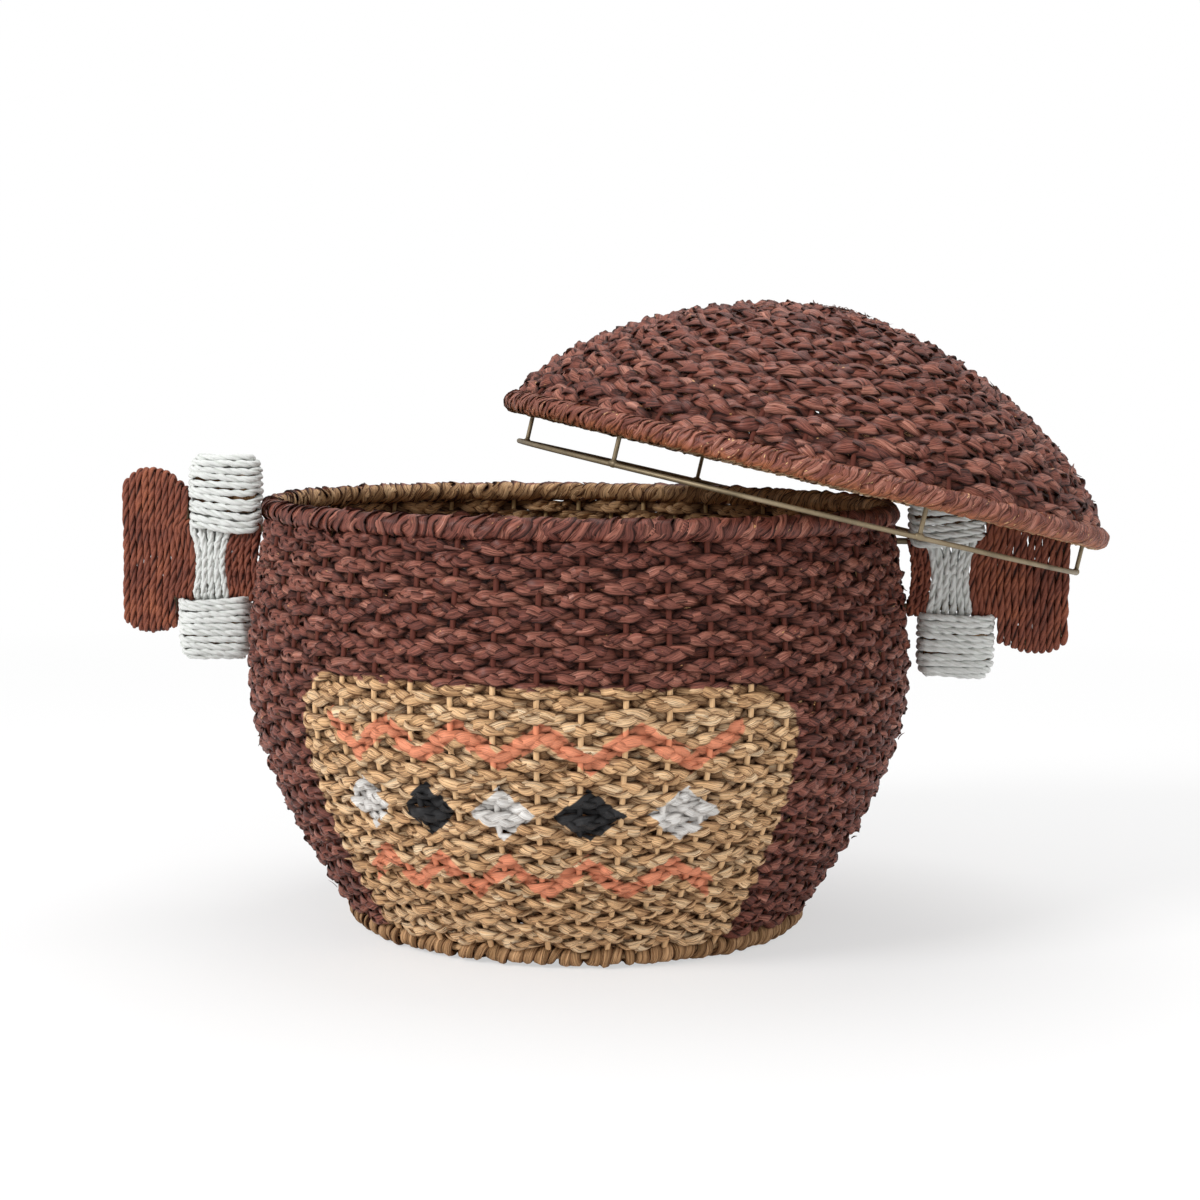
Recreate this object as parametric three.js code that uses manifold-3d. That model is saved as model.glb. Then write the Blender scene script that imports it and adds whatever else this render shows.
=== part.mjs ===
// Lidded basket: a bowl plaited over wire stakes, a domed lid with a locating ring, and two handles
// wound in cord. Millimetres, +Z up. The origin is the centre of the face that the basket stands on,
// and its front looks along -Y.
import * as THREE from "three";
import { mergeVertices } from "three/addons/utils/BufferGeometryUtils.js";
import Module from "manifold-3d";

// Fits
const seatGap = 0.3; // between a piece and what it sits on or passes through

// Basket: its stakes follow a line from the base hoop out to the belly and in to the mouth
const stakeCount = 52;
const stakeWidth = 3.4;
const hoopWire = 4; // diameter of the base, rim and lid hoops
const leafSkin = 3; // plaited leaf on each side of the stakes
const baseHoopRadius = 139.5;
const flankRadius = 182;
const flankHeight = 78;
const bellyRadius = 204;
const bellyHeight = 152;
const mouthRadius = 193;
const mouthHeight = 259;
const wallSteps = 4;
const rimBindingDiameter = 14;
const baseBindingDiameter = 14;
const rimLip = -35; // degrees round from straight out, where the rim binding's outside meets the wall
const baseMatThickness = 9;
const baseMatBevel = 2.25;

// Lid: its ribs follow a line from the lid's hoop up to the crown
const ribCount = 20;
const ribWidth = 3;
const lidHoopRadius = 187.5;
const domeRise = 99;
const crownReach = 70; // how far out the crown stays nearly flat
const shoulderRadius = 166;
const shoulderHeight = 50;
const crownHoopRadius = 28;
const domeSteps = 4;
const lidBindingDiameter = 13;
const ringDrop = 23.5; // from the lid's hoop down to the locating ring
const ringWire = 3;
const postCount = 6;
const postDiameter = 2.8;
const firstPost = -5.5; // degrees round from +X

// How the lid is left: pushed to the right, leaning on the rim and on the right handle
const lidRoll = -3.2; // degrees, with its back edge lower
const lidBackShift = 19;
const steepestTilt = 25; // degrees that the search for the lid's rest tries
const ringClearance = 2; // between the ring and the end of the right handle

// Handles: a wire outline with a flared panel at its end, wound in cord, and a knob above and below
// its waist
const cordDiameter = 3.8;
const turnGap = 0.5; // between one turn of cord and the next
const handleWire = 4;
const handleStandOff = 0.7; // between the wall and the first turn
const legTop = 242;
const legBottom = 201;
const panelStartTop = 260;
const panelStartBottom = 186;
const panelCrestTop = 274.5;
const panelCrestBottom = 179.5;
const panelEndTop = 262.5;
const panelEndBottom = 188;
const crestInset = 16; // from the panel's end to its crests
const wireBend = 3;
const knobWidth = 48;
const knobDepth = 21.8;
const knobCorner = 5.3;
const knobClearTop = 5.3; // between the top knob and the rim
const knobClearBottom = 3.2; // between the bottom knob and the belly
const knobTurnsTop = 9;
const knobTurnsBottom = 8;
const handleSpecs = [
  { name: "left", side: -1, innerTurns: 5, waistTurns: 5, panelTurns: 11 },
  { name: "right", side: 1, innerTurns: 3, waistTurns: 6, panelTurns: 14 },
];

// Faces round a wire, cord, post or hole, and steps round the outside of each binding
const wireSides = 5;
const cordSides = 4;
const postSides = 6;
const holeSides = 8;
const rimSteps = 5;
const footInnerSteps = 3;
const footOuterSteps = 4;
const lidRimSteps = 7;

// Share of a run that a cord's end covers, and places round the ring that are tried against the rim
const endShare = 0.12;
const contactPlaces = 360;

// Derived sizes
const degree = Math.PI / 180;
const slotHalf = Math.max(stakeWidth, hoopWire) / 2 + seatGap;
const wallHalf = slotHalf + leafSkin;
const domeSlotHalf = ribWidth / 2 + seatGap;
const domeHalf = domeSlotHalf + leafSkin;
const footFlat = 16 * degree; // half of the flat under the base binding
const baseHoopHeight = (baseBindingDiameter / 2) * Math.cos(footFlat);
const wireRadius = handleWire / 2;
const cordRadius = cordDiameter / 2;
const turnPitch = cordDiameter + turnGap;
const domeFacets = 2 * ribCount;
const bendShare = Math.tan(22.5 * degree); // of a cord's offset, to where it turns an octagon's corner
const wrapOffset = wireRadius + seatGap + cordRadius; // between the middles of a wire and of its cord
const ringRadius = lidHoopRadius - lidBindingDiameter / 2 - seatGap - postDiameter / 2;

const wasm = await Module();
wasm.setup();

// Materials
const paintedLeaf = { color: 0x5d3a36, roughness: 0.85, metalness: 0 };
const naturalLeaf = { color: 0xb08d62, roughness: 0.85, metalness: 0 };
const wire = { color: 0x8c7d63, roughness: 0.45, metalness: 0.7 };
const brownCord = { color: 0x70382b, roughness: 0.85, metalness: 0 };
const paleCord = { color: 0xd8dad8, roughness: 0.85, metalness: 0 };

const basket = new THREE.Group();
const lid = new THREE.Group();

function addPiece(group, name, geometry, finish) {
  const mesh = new THREE.Mesh(geometry, new THREE.MeshStandardMaterial(finish));
  mesh.name = name;
  group.add(mesh);
}

// Solids: between three.js geometry and manifold-3d

function solidOf(geometry) {
  const bare = geometry.clone();
  bare.deleteAttribute("normal");
  bare.deleteAttribute("uv");
  const merged = mergeVertices(bare, 1e-4);
  const vertProperties = merged.attributes.position.array;
  const triVerts = new Uint32Array(merged.index.array);
  return new wasm.Manifold(new wasm.Mesh({ numProp: 3, vertProperties, triVerts }));
}

function geometryOf(solid) {
  const mesh = solid.getMesh();
  const geometry = new THREE.BufferGeometry();
  geometry.setAttribute("position", new THREE.BufferAttribute(new Float32Array(mesh.vertProperties), 3));
  geometry.setIndex(new THREE.BufferAttribute(new Uint32Array(mesh.triVerts), 1));
  return geometry;
}

// Lines in the (radius, height) plane

function directionBetween(a, b) {
  return b.clone().sub(a).normalize();
}

// The side of a line that looks away from the basket's middle, for a line that runs upwards or inwards
function outwardOf(direction) {
  return new THREE.Vector2(direction.y, -direction.x);
}

function offsetLine(line, distance) {
  return line.map((point, i) => {
    const before = outwardOf(directionBetween(line[Math.max(i - 1, 0)], line[Math.max(i, 1)]));
    const last = line.length - 1;
    const after = outwardOf(directionBetween(line[Math.min(i, last - 1)], line[Math.min(i + 1, last)]));
    const middle = before.clone().add(after).normalize();
    return point.clone().addScaledVector(middle, distance / middle.dot(before));
  });
}

function trimStart(line, length) {
  const start = line[0].clone().addScaledVector(directionBetween(line[0], line[1]), length);
  return [start, ...line.slice(1)];
}

// Radius of a rising line at a height, or with axes swapped, height at a radius
function readLine(line, value, from, to) {
  for (let i = 1; i < line.length; i++) {
    const [a, b] = [line[i - 1], line[i]];
    if ((a[from] - value) * (b[from] - value) <= 0 && a[from] !== b[from])
      return a[to] + ((b[to] - a[to]) * (value - a[from])) / (b[from] - a[from]);
  }
  return (value < Math.min(line[0][from], line.at(-1)[from]) ? line[0] : line.at(-1))[to];
}

// Revolved round the axis with its faces outward, whichever way the profile runs, and a facet across +X
function revolve(profile, facets) {
  const upward = THREE.ShapeUtils.isClockWise(profile) ? [...profile].reverse() : profile;
  return new THREE.LatheGeometry(upward, facets, Math.PI / facets + Math.PI / 2).rotateX(Math.PI / 2);
}

// A flat strip that follows a line in the plane through the axis, set in to the middle of a facet
function radialStrip(line, width, facets) {
  const outline = [...offsetLine(line, width / 2), ...offsetLine(line, -width / 2).reverse()];
  const strip = new THREE.ExtrudeGeometry(new THREE.Shape(outline), { depth: width, bevelEnabled: false });
  return strip.rotateX(Math.PI / 2).translate(0, width / 2, 0).scale(Math.cos(Math.PI / facets), 1, 1);
}

// Places given as steps out from a line and steps along it
function alongside(centre, direction) {
  const outward = outwardOf(direction);
  return (out, along) => centre.clone().addScaledVector(outward, out).addScaledVector(direction, along);
}

// A hoop of square wire, turned to lie flat against the wires that end on it
function hoop(centre, direction, width, facets) {
  const place = alongside(centre, direction);
  const half = width / 2;
  const section = [place(-half, -half), place(half, -half), place(half, half), place(-half, half)];
  return revolve([...section, section[0]], facets);
}

// Upright wires spaced round the axis, welded to the hoops that they run between
function wireCage(strip, count, hoops) {
  const step = (2 * Math.PI) / count;
  const uprights = Array.from({ length: count }, (_, i) => strip.clone().rotateZ(i * step));
  return geometryOf(wasm.Manifold.union([...uprights, ...hoops].map(solidOf)));
}

// A wrapped binding round a hoop, open along the side where the wires leave it
function openBinding(centre, direction, diameter, angles, facets) {
  const place = alongside(centre, direction);
  const lip = Math.sqrt((diameter / 2) ** 2 - slotHalf ** 2);
  const bore = [
    place(-slotHalf, lip),
    place(-slotHalf, -slotHalf),
    place(slotHalf, -slotHalf),
    place(slotHalf, lip),
  ];
  const outer = angles.map((angle) =>
    centre.clone().add(new THREE.Vector2(diameter / 2, 0).rotateAround(new THREE.Vector2(), angle)),
  );
  const profile = [...bore, ...outer];
  return revolve([...profile, profile[0]], facets);
}

function spread(from, to, steps) {
  return Array.from({ length: steps + 1 }, (_, i) => from + ((to - from) * i) / steps);
}

// Basket wall, stakes and bindings

const stakeLine = new THREE.SplineCurve([
  new THREE.Vector2(baseHoopRadius, baseHoopHeight),
  new THREE.Vector2(flankRadius, flankHeight),
  new THREE.Vector2(bellyRadius, bellyHeight),
  new THREE.Vector2(mouthRadius, mouthHeight),
]).getSpacedPoints(wallSteps);
const wallLine = trimStart(stakeLine, baseBindingDiameter / 2 + seatGap);
const wallOuter = offsetLine(wallLine, wallHalf);
const rimCentre = new THREE.Vector2(mouthRadius, mouthHeight);
const rimUp = directionBetween(stakeLine.at(-2), stakeLine.at(-1));
const atRim = alongside(rimCentre, rimUp);
const footUp = directionBetween(stakeLine[0], stakeLine[1]);

function wovenWall() {
  const topCorner = leafSkin;
  const profile = [
    ...wallOuter.slice(0, -1),
    atRim(wallHalf, wallHalf - topCorner),
    atRim(wallHalf - topCorner, wallHalf),
    atRim(topCorner - wallHalf, wallHalf),
    atRim(-wallHalf, wallHalf - topCorner),
    ...offsetLine(wallLine, -wallHalf).slice(0, -1).reverse(),
    ...offsetLine(wallLine, -slotHalf).slice(0, -1),
    atRim(-slotHalf, slotHalf),
    atRim(slotHalf, slotHalf),
    ...offsetLine(wallLine, slotHalf).slice(0, -1).reverse(),
  ];
  let wall = solidOf(revolve([...profile, profile[0]], stakeCount));
  for (const { side } of handleSpecs) {
    for (const height of [legTop, legBottom]) {
      const inside = readLine(stakeLine, height, "y", "x");
      const length = 2 * wallHalf;
      const radius = (wireRadius + seatGap) / Math.cos(Math.PI / holeSides);
      const hole = new THREE.CylinderGeometry(radius, radius, length, holeSides).rotateZ(Math.PI / 2);
      wall = wall.subtract(solidOf(hole.translate(side * (inside + length / 2), 0, height)));
    }
  }
  return geometryOf(wall);
}

function rimBinding() {
  const inner = wallHalf + seatGap;
  const corner = leafSkin;
  const lipAngle = rimLip * degree;
  const radius = rimBindingDiameter / 2;
  const outer = spread(lipAngle, Math.PI - lipAngle, rimSteps).map((angle) =>
    atRim(radius * Math.cos(angle), radius * Math.sin(angle)),
  );
  const lip = radius * Math.sin(lipAngle);
  const profile = [
    ...outer,
    atRim(-inner, lip),
    atRim(-inner, inner - corner),
    atRim(corner - inner, inner),
    atRim(inner - corner, inner),
    atRim(inner, inner - corner),
    atRim(inner, lip),
  ];
  return revolve([...profile, profile[0]], stakeCount);
}

function baseBinding() {
  const open = Math.asin(slotHalf / (baseBindingDiameter / 2));
  const heading = footUp.angle();
  const down = -Math.PI / 2;
  const angles = [
    ...spread(heading - open, down + footFlat, footInnerSteps).slice(1),
    ...spread(down - footFlat, heading + open - 2 * Math.PI, footOuterSteps).slice(0, -1),
  ];
  return openBinding(stakeLine[0], footUp, baseBindingDiameter, angles, stakeCount);
}

function baseMat() {
  const radius = baseHoopRadius - baseBindingDiameter / 2 - seatGap;
  const profile = [
    new THREE.Vector2(0, 0),
    new THREE.Vector2(radius - baseMatBevel, 0),
    new THREE.Vector2(radius, baseMatBevel),
    new THREE.Vector2(radius, baseMatThickness - baseMatBevel),
    new THREE.Vector2(radius - baseMatBevel, baseMatThickness),
    new THREE.Vector2(0, baseMatThickness),
  ];
  return revolve(profile, stakeCount);
}

addPiece(basket, "woven_wall", wovenWall(), paintedLeaf);
addPiece(
  basket,
  "basket_wire_frame",
  wireCage(radialStrip(stakeLine, stakeWidth, stakeCount), stakeCount, [
    hoop(stakeLine[0], footUp, hoopWire, stakeCount),
    hoop(rimCentre, rimUp, hoopWire, stakeCount),
  ]),
  wire,
);
addPiece(basket, "rim_binding", rimBinding(), paintedLeaf);
addPiece(basket, "base_binding", baseBinding(), naturalLeaf);
addPiece(basket, "woven_base", baseMat(), naturalLeaf);

// Lid, with z = 0 at the middle of its hoop

const domeCurve = new THREE.CubicBezierCurve(
  new THREE.Vector2(lidHoopRadius, 0),
  new THREE.Vector2(shoulderRadius, shoulderHeight),
  new THREE.Vector2(crownReach, domeRise),
  new THREE.Vector2(0, domeRise),
);

// The curve's parameter where it has come in to a radius
function domeParameter(radius) {
  let [low, high] = [0, 1];
  while (high - low > 1e-6) {
    const middle = (low + high) / 2;
    if (domeCurve.getPoint(middle).x > radius) low = middle;
    else high = middle;
  }
  return low;
}

const ribLine = spread(0, domeParameter(crownHoopRadius), domeSteps).map((t) => domeCurve.getPoint(t));
const crownInset = crownHoopRadius - ribWidth / 2 - 2 * seatGap;
const slotEnd = domeCurve.getPoint(domeParameter(crownInset));
const domeLine = [
  ...trimStart(ribLine, lidBindingDiameter / 2 + seatGap).slice(0, -1),
  slotEnd,
  domeCurve.getPoint(1),
];
const domeInner = offsetLine(domeLine, -domeHalf);

function wovenDome() {
  const toAxis = (line) => [...line.slice(0, -1), new THREE.Vector2(0, line.at(-1).y)];
  const profile = [
    ...toAxis(offsetLine(domeLine, domeHalf)).reverse(),
    ...offsetLine(domeLine, domeSlotHalf).slice(0, -1),
    ...offsetLine(domeLine, -domeSlotHalf).slice(0, -1).reverse(),
    ...toAxis(domeInner),
  ];
  return revolve(profile, domeFacets);
}

const edgeUp = directionBetween(ribLine[0], ribLine[1]);

function lidBinding() {
  const open = Math.asin(slotHalf / (lidBindingDiameter / 2));
  const heading = edgeUp.angle();
  const angles = spread(heading - open, heading + open - 2 * Math.PI, lidRimSteps).slice(1, -1);
  return openBinding(ribLine[0], edgeUp, lidBindingDiameter, angles, domeFacets);
}

function lidCage() {
  const crown = directionBetween(ribLine.at(-2), ribLine.at(-1));
  return wireCage(radialStrip(ribLine, ribWidth, domeFacets), ribCount, [
    hoop(ribLine[0], edgeUp, hoopWire, domeFacets),
    hoop(ribLine.at(-1), crown, ribWidth, ribCount),
  ]);
}

addPiece(lid, "lid_dome", wovenDome(), paintedLeaf);
addPiece(lid, "lid_wire_frame", lidCage(), wire);
addPiece(lid, "lid_binding", lidBinding(), paintedLeaf);
const ring = new THREE.TorusGeometry(ringRadius, ringWire / 2, wireSides, domeFacets);
addPiece(lid, "locating_ring", ring.translate(0, 0, -ringDrop), wire);

const postFoot = ringWire / 2 + seatGap - ringDrop;
const postHead = domeInner[0].y - seatGap;
for (let i = 0; i < postCount; i++) {
  const radius = postDiameter / 2;
  const post = new THREE.CylinderGeometry(radius, radius, postHead - postFoot, postSides);
  post.rotateX(Math.PI / 2).translate(ringRadius, 0, (postHead + postFoot) / 2);
  post.rotateZ(firstPost * degree + (i * 2 * Math.PI) / postCount);
  addPiece(lid, "ring_post_" + (i + 1), post, wire);
}

// Tubes that follow points: the handles' wires, and the cord wound round them

function tube(points, radius, sides) {
  const last = points.length - 1;
  const tangents = points.map((_, i) =>
    points[Math.min(i + 1, last)].clone().sub(points[Math.max(i - 1, 0)]).normalize(),
  );
  const turn = new THREE.Quaternion();
  let across = new THREE.Vector3(0, 1, 0).cross(tangents[0]);
  if (across.length() < 0.1) across = new THREE.Vector3(1, 0, 0).cross(tangents[0]);
  across.normalize();
  const positions = [];
  points.forEach((point, i) => {
    if (i) across.applyQuaternion(turn.setFromUnitVectors(tangents[i - 1], tangents[i]));
    const upward = tangents[i].clone().cross(across);
    for (let k = 0; k < sides; k++) {
      const angle = (k * 2 * Math.PI) / sides;
      const corner = point.clone().addScaledVector(across, radius * Math.cos(angle));
      positions.push(...corner.addScaledVector(upward, radius * Math.sin(angle)));
    }
  });
  const faces = [];
  for (let i = 0; i < last; i++) {
    for (let k = 0; k < sides; k++) {
      const [a, b] = [i * sides + k, i * sides + ((k + 1) % sides)];
      faces.push(a, b, a + sides, b, b + sides, a + sides);
    }
  }
  for (let k = 1; k < sides - 1; k++) {
    faces.push(0, k + 1, k);
    faces.push(last * sides, last * sides + k, last * sides + k + 1);
  }
  const geometry = new THREE.BufferGeometry();
  geometry.setAttribute("position", new THREE.Float32BufferAttribute(positions, 3));
  geometry.setIndex(faces);
  return geometry;
}

// The least gap that a wound tube leaves to itself, between points a third of its diameter apart
function leastGap(points, diameter) {
  const samples = [];
  let run = 0;
  for (let i = 1; i < points.length; i++) {
    const length = points[i].distanceTo(points[i - 1]);
    const count = Math.ceil((3 * length) / diameter);
    for (let k = 0; k < count; k++) {
      const at = points[i - 1].clone().lerp(points[i], k / count);
      samples.push({ at, run: run + (length * k) / count });
    }
    run += length;
  }
  let least = Infinity;
  samples.forEach((a, i) => {
    for (let j = i + 1; j < samples.length; j++)
      if (samples[j].run - a.run > 3 * diameter) least = Math.min(least, a.at.distanceTo(samples[j].at));
  });
  return least - diameter;
}

function addWinding(name, points, finish) {
  console.log(name + ": least gap between turns " + leastGap(points, cordDiameter).toFixed(2) + " mm");
  addPiece(basket, name, tube(points, cordRadius, cordSides), finish);
}

function bendCorners(points, reach) {
  const bent = [points[0]];
  for (let i = 1; i < points.length - 1; i++) {
    for (const other of [points[i - 1], points[i + 1]]) {
      const towards = directionBetween(points[i], other);
      bent.push(points[i].clone().addScaledVector(towards, reach));
    }
  }
  return [...bent, points.at(-1)];
}

// Handles

const wrapThickness = wrapOffset + cordRadius;
const besideTurns = [legBottom - wrapThickness, legTop + wrapThickness];
const wallReach = Math.max(...besideTurns.map((height) => readLine(wallOuter, height, "y", "x")));
const firstTurn = wallReach + handleStandOff + cordRadius;
const knobCentreTop = mouthRadius + rimBindingDiameter / 2 + knobClearTop + knobWidth / 2;
const knobCentreBottom = bellyRadius + wallHalf + knobClearBottom + knobWidth / 2;

// The places of one handle's turns, and the lines that its wire follows above and below them
function planHandle({ innerTurns, waistTurns, panelTurns }) {
  const count = innerTurns + waistTurns + panelTurns;
  const radii = Array.from({ length: count }, (_, i) => firstTurn + i * turnPitch);
  const pastKnob = (centre) =>
    radii.find((radius) => radius >= centre + knobWidth / 2 + seatGap + Math.max(wireRadius, cordRadius));
  const end = radii.at(-1);
  const edge = (riser, leg, start, crest, finish) => [
    new THREE.Vector2(radii[0], leg),
    new THREE.Vector2(riser, leg),
    new THREE.Vector2(riser, start),
    new THREE.Vector2(end - crestInset, crest),
    new THREE.Vector2(end, finish),
  ];
  return {
    radii,
    top: edge(pastKnob(knobCentreTop), legTop, panelStartTop, panelCrestTop, panelEndTop),
    bottom: edge(pastKnob(knobCentreBottom), legBottom, panelStartBottom, panelCrestBottom, panelEndBottom),
  };
}

// Where a turn of cord crosses the wire at a radius: the wire's height, and how far off the cord runs
// for its slope
function crossing(edge, radius) {
  const panel = radius >= edge[1].x;
  const line = panel ? edge.slice(2) : edge.slice(0, 2);
  const height = readLine(line, radius, "x", "y");
  const step = panel && radius > line[1].x ? 2 : 1;
  const slope = directionBetween(line[step - 1], line[step]);
  return { height, reach: wrapOffset / Math.abs(slope.x) };
}

// Turns round the wires above and below, straight at the front and moved on by one pitch at the back
function windPanel(plan, side, from, count) {
  const [slantTop, slantBottom] = [legTop + bendShare * wrapOffset, legBottom - bendShare * wrapOffset];
  const points = [];
  const add = (radius, y, z) => points.push(new THREE.Vector3(side * radius, y, z));
  const slant = (radius, share) =>
    add(radius + turnPitch * share, wrapOffset, slantTop + (slantBottom - slantTop) * share);
  slant(plan.radii[from] - turnPitch, 1 - endShare);
  for (let i = 0; i < count; i++) {
    const radius = plan.radii[from + i];
    const low = crossing(plan.bottom, radius);
    const high = crossing(plan.top, radius);
    add(radius, wrapOffset, slantBottom);
    if (low.height < legBottom) add(radius, wrapOffset, low.height - bendShare * low.reach);
    add(radius, bendShare * wrapOffset, low.height - low.reach);
    add(radius, -bendShare * wrapOffset, low.height - low.reach);
    add(radius, -wrapOffset, low.height - bendShare * low.reach);
    add(radius, -wrapOffset, high.height + bendShare * high.reach);
    add(radius, -bendShare * wrapOffset, high.height + high.reach);
    add(radius, bendShare * wrapOffset, high.height + high.reach);
    if (high.height > legTop) add(radius, wrapOffset, high.height + bendShare * high.reach);
    add(radius, wrapOffset, slantTop);
  }
  slant(plan.radii[from + count - 1], endShare);
  return points;
}

// Turns that lie flat on each other round a knob, climbing at the back
function windKnob(side, centre, lowest, turns) {
  const across = knobWidth / 2 - cordRadius;
  const deep = knobDepth / 2 - cordRadius;
  const [shortAcross, shortDeep] = [across - knobCorner, deep - knobCorner];
  const corners = [
    [-shortAcross, deep],
    [-across, shortDeep],
    [-across, -shortDeep],
    [-shortAcross, -deep],
    [shortAcross, -deep],
    [across, -shortDeep],
    [across, shortDeep],
    [shortAcross, deep],
  ];
  const points = [];
  const add = (x, y, z) => points.push(new THREE.Vector3(side * centre + x, y, z));
  const run = 2 * shortAcross;
  add(shortAcross - run * (1 - endShare), deep, lowest - turnPitch * endShare);
  for (let i = 0; i < turns; i++) for (const [x, y] of corners) add(x, y, lowest + i * turnPitch);
  add(shortAcross - run * endShare, deep, lowest + (turns - 1 + endShare) * turnPitch);
  return points;
}

function knobCore(side, centre, bottom, height) {
  const inset = cordDiameter + seatGap;
  const across = knobWidth / 2 - inset;
  const deep = knobDepth / 2 - inset;
  const corner = knobCorner - (cordRadius + seatGap) * (2 - Math.SQRT2);
  const outline = new THREE.Shape([
    new THREE.Vector2(across, corner - deep),
    new THREE.Vector2(across, deep - corner),
    new THREE.Vector2(across - corner, deep),
    new THREE.Vector2(corner - across, deep),
    new THREE.Vector2(-across, deep - corner),
    new THREE.Vector2(-across, corner - deep),
    new THREE.Vector2(corner - across, -deep),
    new THREE.Vector2(across - corner, -deep),
  ]);
  const core = new THREE.ExtrudeGeometry(outline, { depth: height, bevelEnabled: false });
  return core.translate(side * centre, 0, bottom);
}

function addKnob(name, side, centre, bottom, turns) {
  const height = turns * turnPitch - turnGap;
  addPiece(basket, name + "_core", knobCore(side, centre, bottom, height), naturalLeaf);
  addWinding(name + "_wrap", windKnob(side, centre, bottom + cordRadius, turns), paleCord);
}

function handleFrame(plan, side) {
  const stakeFace = offsetLine(stakeLine, stakeWidth / 2 + seatGap);
  const leg = (height) => {
    const edges = [height - wireRadius, height + wireRadius];
    return new THREE.Vector2(Math.max(...edges.map((edge) => readLine(stakeFace, edge, "y", "x"))), height);
  };
  const outline = [leg(legTop), ...plan.top.slice(1), ...plan.bottom.slice(1).reverse(), leg(legBottom)];
  const route = bendCorners(outline, wireBend).map(({ x, y }) => new THREE.Vector3(side * x, 0, y));
  return tube(route, wireRadius, wireSides);
}

const plans = new Map(handleSpecs.map((spec) => [spec.name, planHandle(spec)]));
for (const { name, side, innerTurns, waistTurns, panelTurns } of handleSpecs) {
  const plan = plans.get(name);
  addPiece(basket, name + "_handle_frame", handleFrame(plan, side), wire);
  addWinding(name + "_inner_wrap", windPanel(plan, side, 0, innerTurns), brownCord);
  addWinding(name + "_waist_wrap", windPanel(plan, side, innerTurns, waistTurns), paleCord);
  addWinding(name + "_panel_wrap", windPanel(plan, side, innerTurns + waistTurns, panelTurns), brownCord);
  const aboveWaist = legTop + wrapThickness + seatGap;
  addKnob(name + "_top_knob", side, knobCentreTop, aboveWaist, knobTurnsTop);
  const belowWaist = legBottom - wrapThickness - seatGap - (knobTurnsBottom * turnPitch - turnGap);
  addKnob(name + "_bottom_knob", side, knobCentreBottom, belowWaist, knobTurnsBottom);
}

// The lid's rest: the ring touches the rim, and the dome's inside touches the right handle

function lidPlace(tilt) {
  const rotation = new THREE.Euler(lidRoll * degree, tilt, 0, "XYZ");
  const handleEnd = plans.get("right").radii.at(-1) + Math.max(cordRadius, wireRadius);
  const ringReach = ringRadius * Math.cos(tilt) - ringDrop * Math.sin(tilt);
  const shift = handleEnd + ringClearance + ringWire / 2 - ringReach;
  const position = new THREE.Vector3(shift, lidBackShift, 0);
  const clear = rimBindingDiameter / 2 + ringWire / 2 + seatGap;
  for (const angle of spread(0, 2 * Math.PI, contactPlaces)) {
    const point = new THREE.Vector3(Math.cos(angle), Math.sin(angle), 0).multiplyScalar(ringRadius);
    point.setZ(-ringDrop).applyEuler(rotation);
    const off = Math.hypot(point.x + position.x, point.y + position.y) - mouthRadius;
    if (Math.abs(off) < clear)
      position.z = Math.max(position.z, mouthHeight + Math.sqrt(clear ** 2 - off ** 2) - point.z);
  }
  return { rotation, position };
}

// How far the dome's inside clears the top of the right handle
function domeClearance(tilt) {
  const { rotation, position } = lidPlace(tilt);
  const toLid = new THREE.Matrix4().makeRotationFromEuler(rotation).setPosition(position).invert();
  const plan = plans.get("right");
  const clearances = plan.radii.flatMap((radius) => {
    const { height, reach } = crossing(plan.top, radius);
    return [-1, 1].map((front) => {
      const top = new THREE.Vector3(radius, front * bendShare * wrapOffset, height + reach);
      top.applyMatrix4(toLid);
      const out = Math.hypot(top.x, top.y);
      const step = Math.max(1, domeInner.findIndex((point) => point.x <= out));
      const slope = directionBetween(domeInner[step - 1], domeInner[step]);
      return (readLine(domeInner, out, "x", "y") - top.z) * Math.abs(slope.x) - cordRadius;
    });
  });
  return Math.min(...clearances);
}

let [gentle, steep] = [0, steepestTilt * degree];
while (steep - gentle > 1e-5) {
  const middle = (gentle + steep) / 2;
  if (domeClearance(middle) > seatGap) gentle = middle;
  else steep = middle;
}
const rest = lidPlace(gentle);
lid.rotation.copy(rest.rotation);
lid.position.copy(rest.position);
const restAt = rest.position.toArray().map((value) => value.toFixed(1));
console.log("lid tilted " + (gentle / degree).toFixed(1) + " degrees, hoop centred at " + restAt.join(", "));

const liddedBasket = new THREE.Group();
liddedBasket.add(basket, lid);
export default liddedBasket;
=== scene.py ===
# Lidded basket: leaf plaited over stakes, a domed lid left leaning on it, and two handles wound in cord.
import math
import bpy
import numpy as np
from mathutils import Matrix, Vector


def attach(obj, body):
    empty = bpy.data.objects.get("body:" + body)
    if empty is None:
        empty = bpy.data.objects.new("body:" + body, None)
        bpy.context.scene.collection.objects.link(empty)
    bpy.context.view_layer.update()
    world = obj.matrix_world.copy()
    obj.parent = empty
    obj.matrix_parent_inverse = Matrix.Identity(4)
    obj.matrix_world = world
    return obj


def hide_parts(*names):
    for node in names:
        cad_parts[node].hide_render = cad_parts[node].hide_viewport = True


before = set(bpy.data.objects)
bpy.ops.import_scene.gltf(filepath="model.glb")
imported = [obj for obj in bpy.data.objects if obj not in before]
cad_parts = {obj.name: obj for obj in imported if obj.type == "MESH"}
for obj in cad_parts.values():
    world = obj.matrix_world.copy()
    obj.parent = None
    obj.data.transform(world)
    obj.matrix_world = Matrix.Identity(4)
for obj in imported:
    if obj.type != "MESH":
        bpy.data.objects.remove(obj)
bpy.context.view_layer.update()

mm = 0.001
fullTurn = 2 * math.pi
white = "#ffffff"

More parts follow.
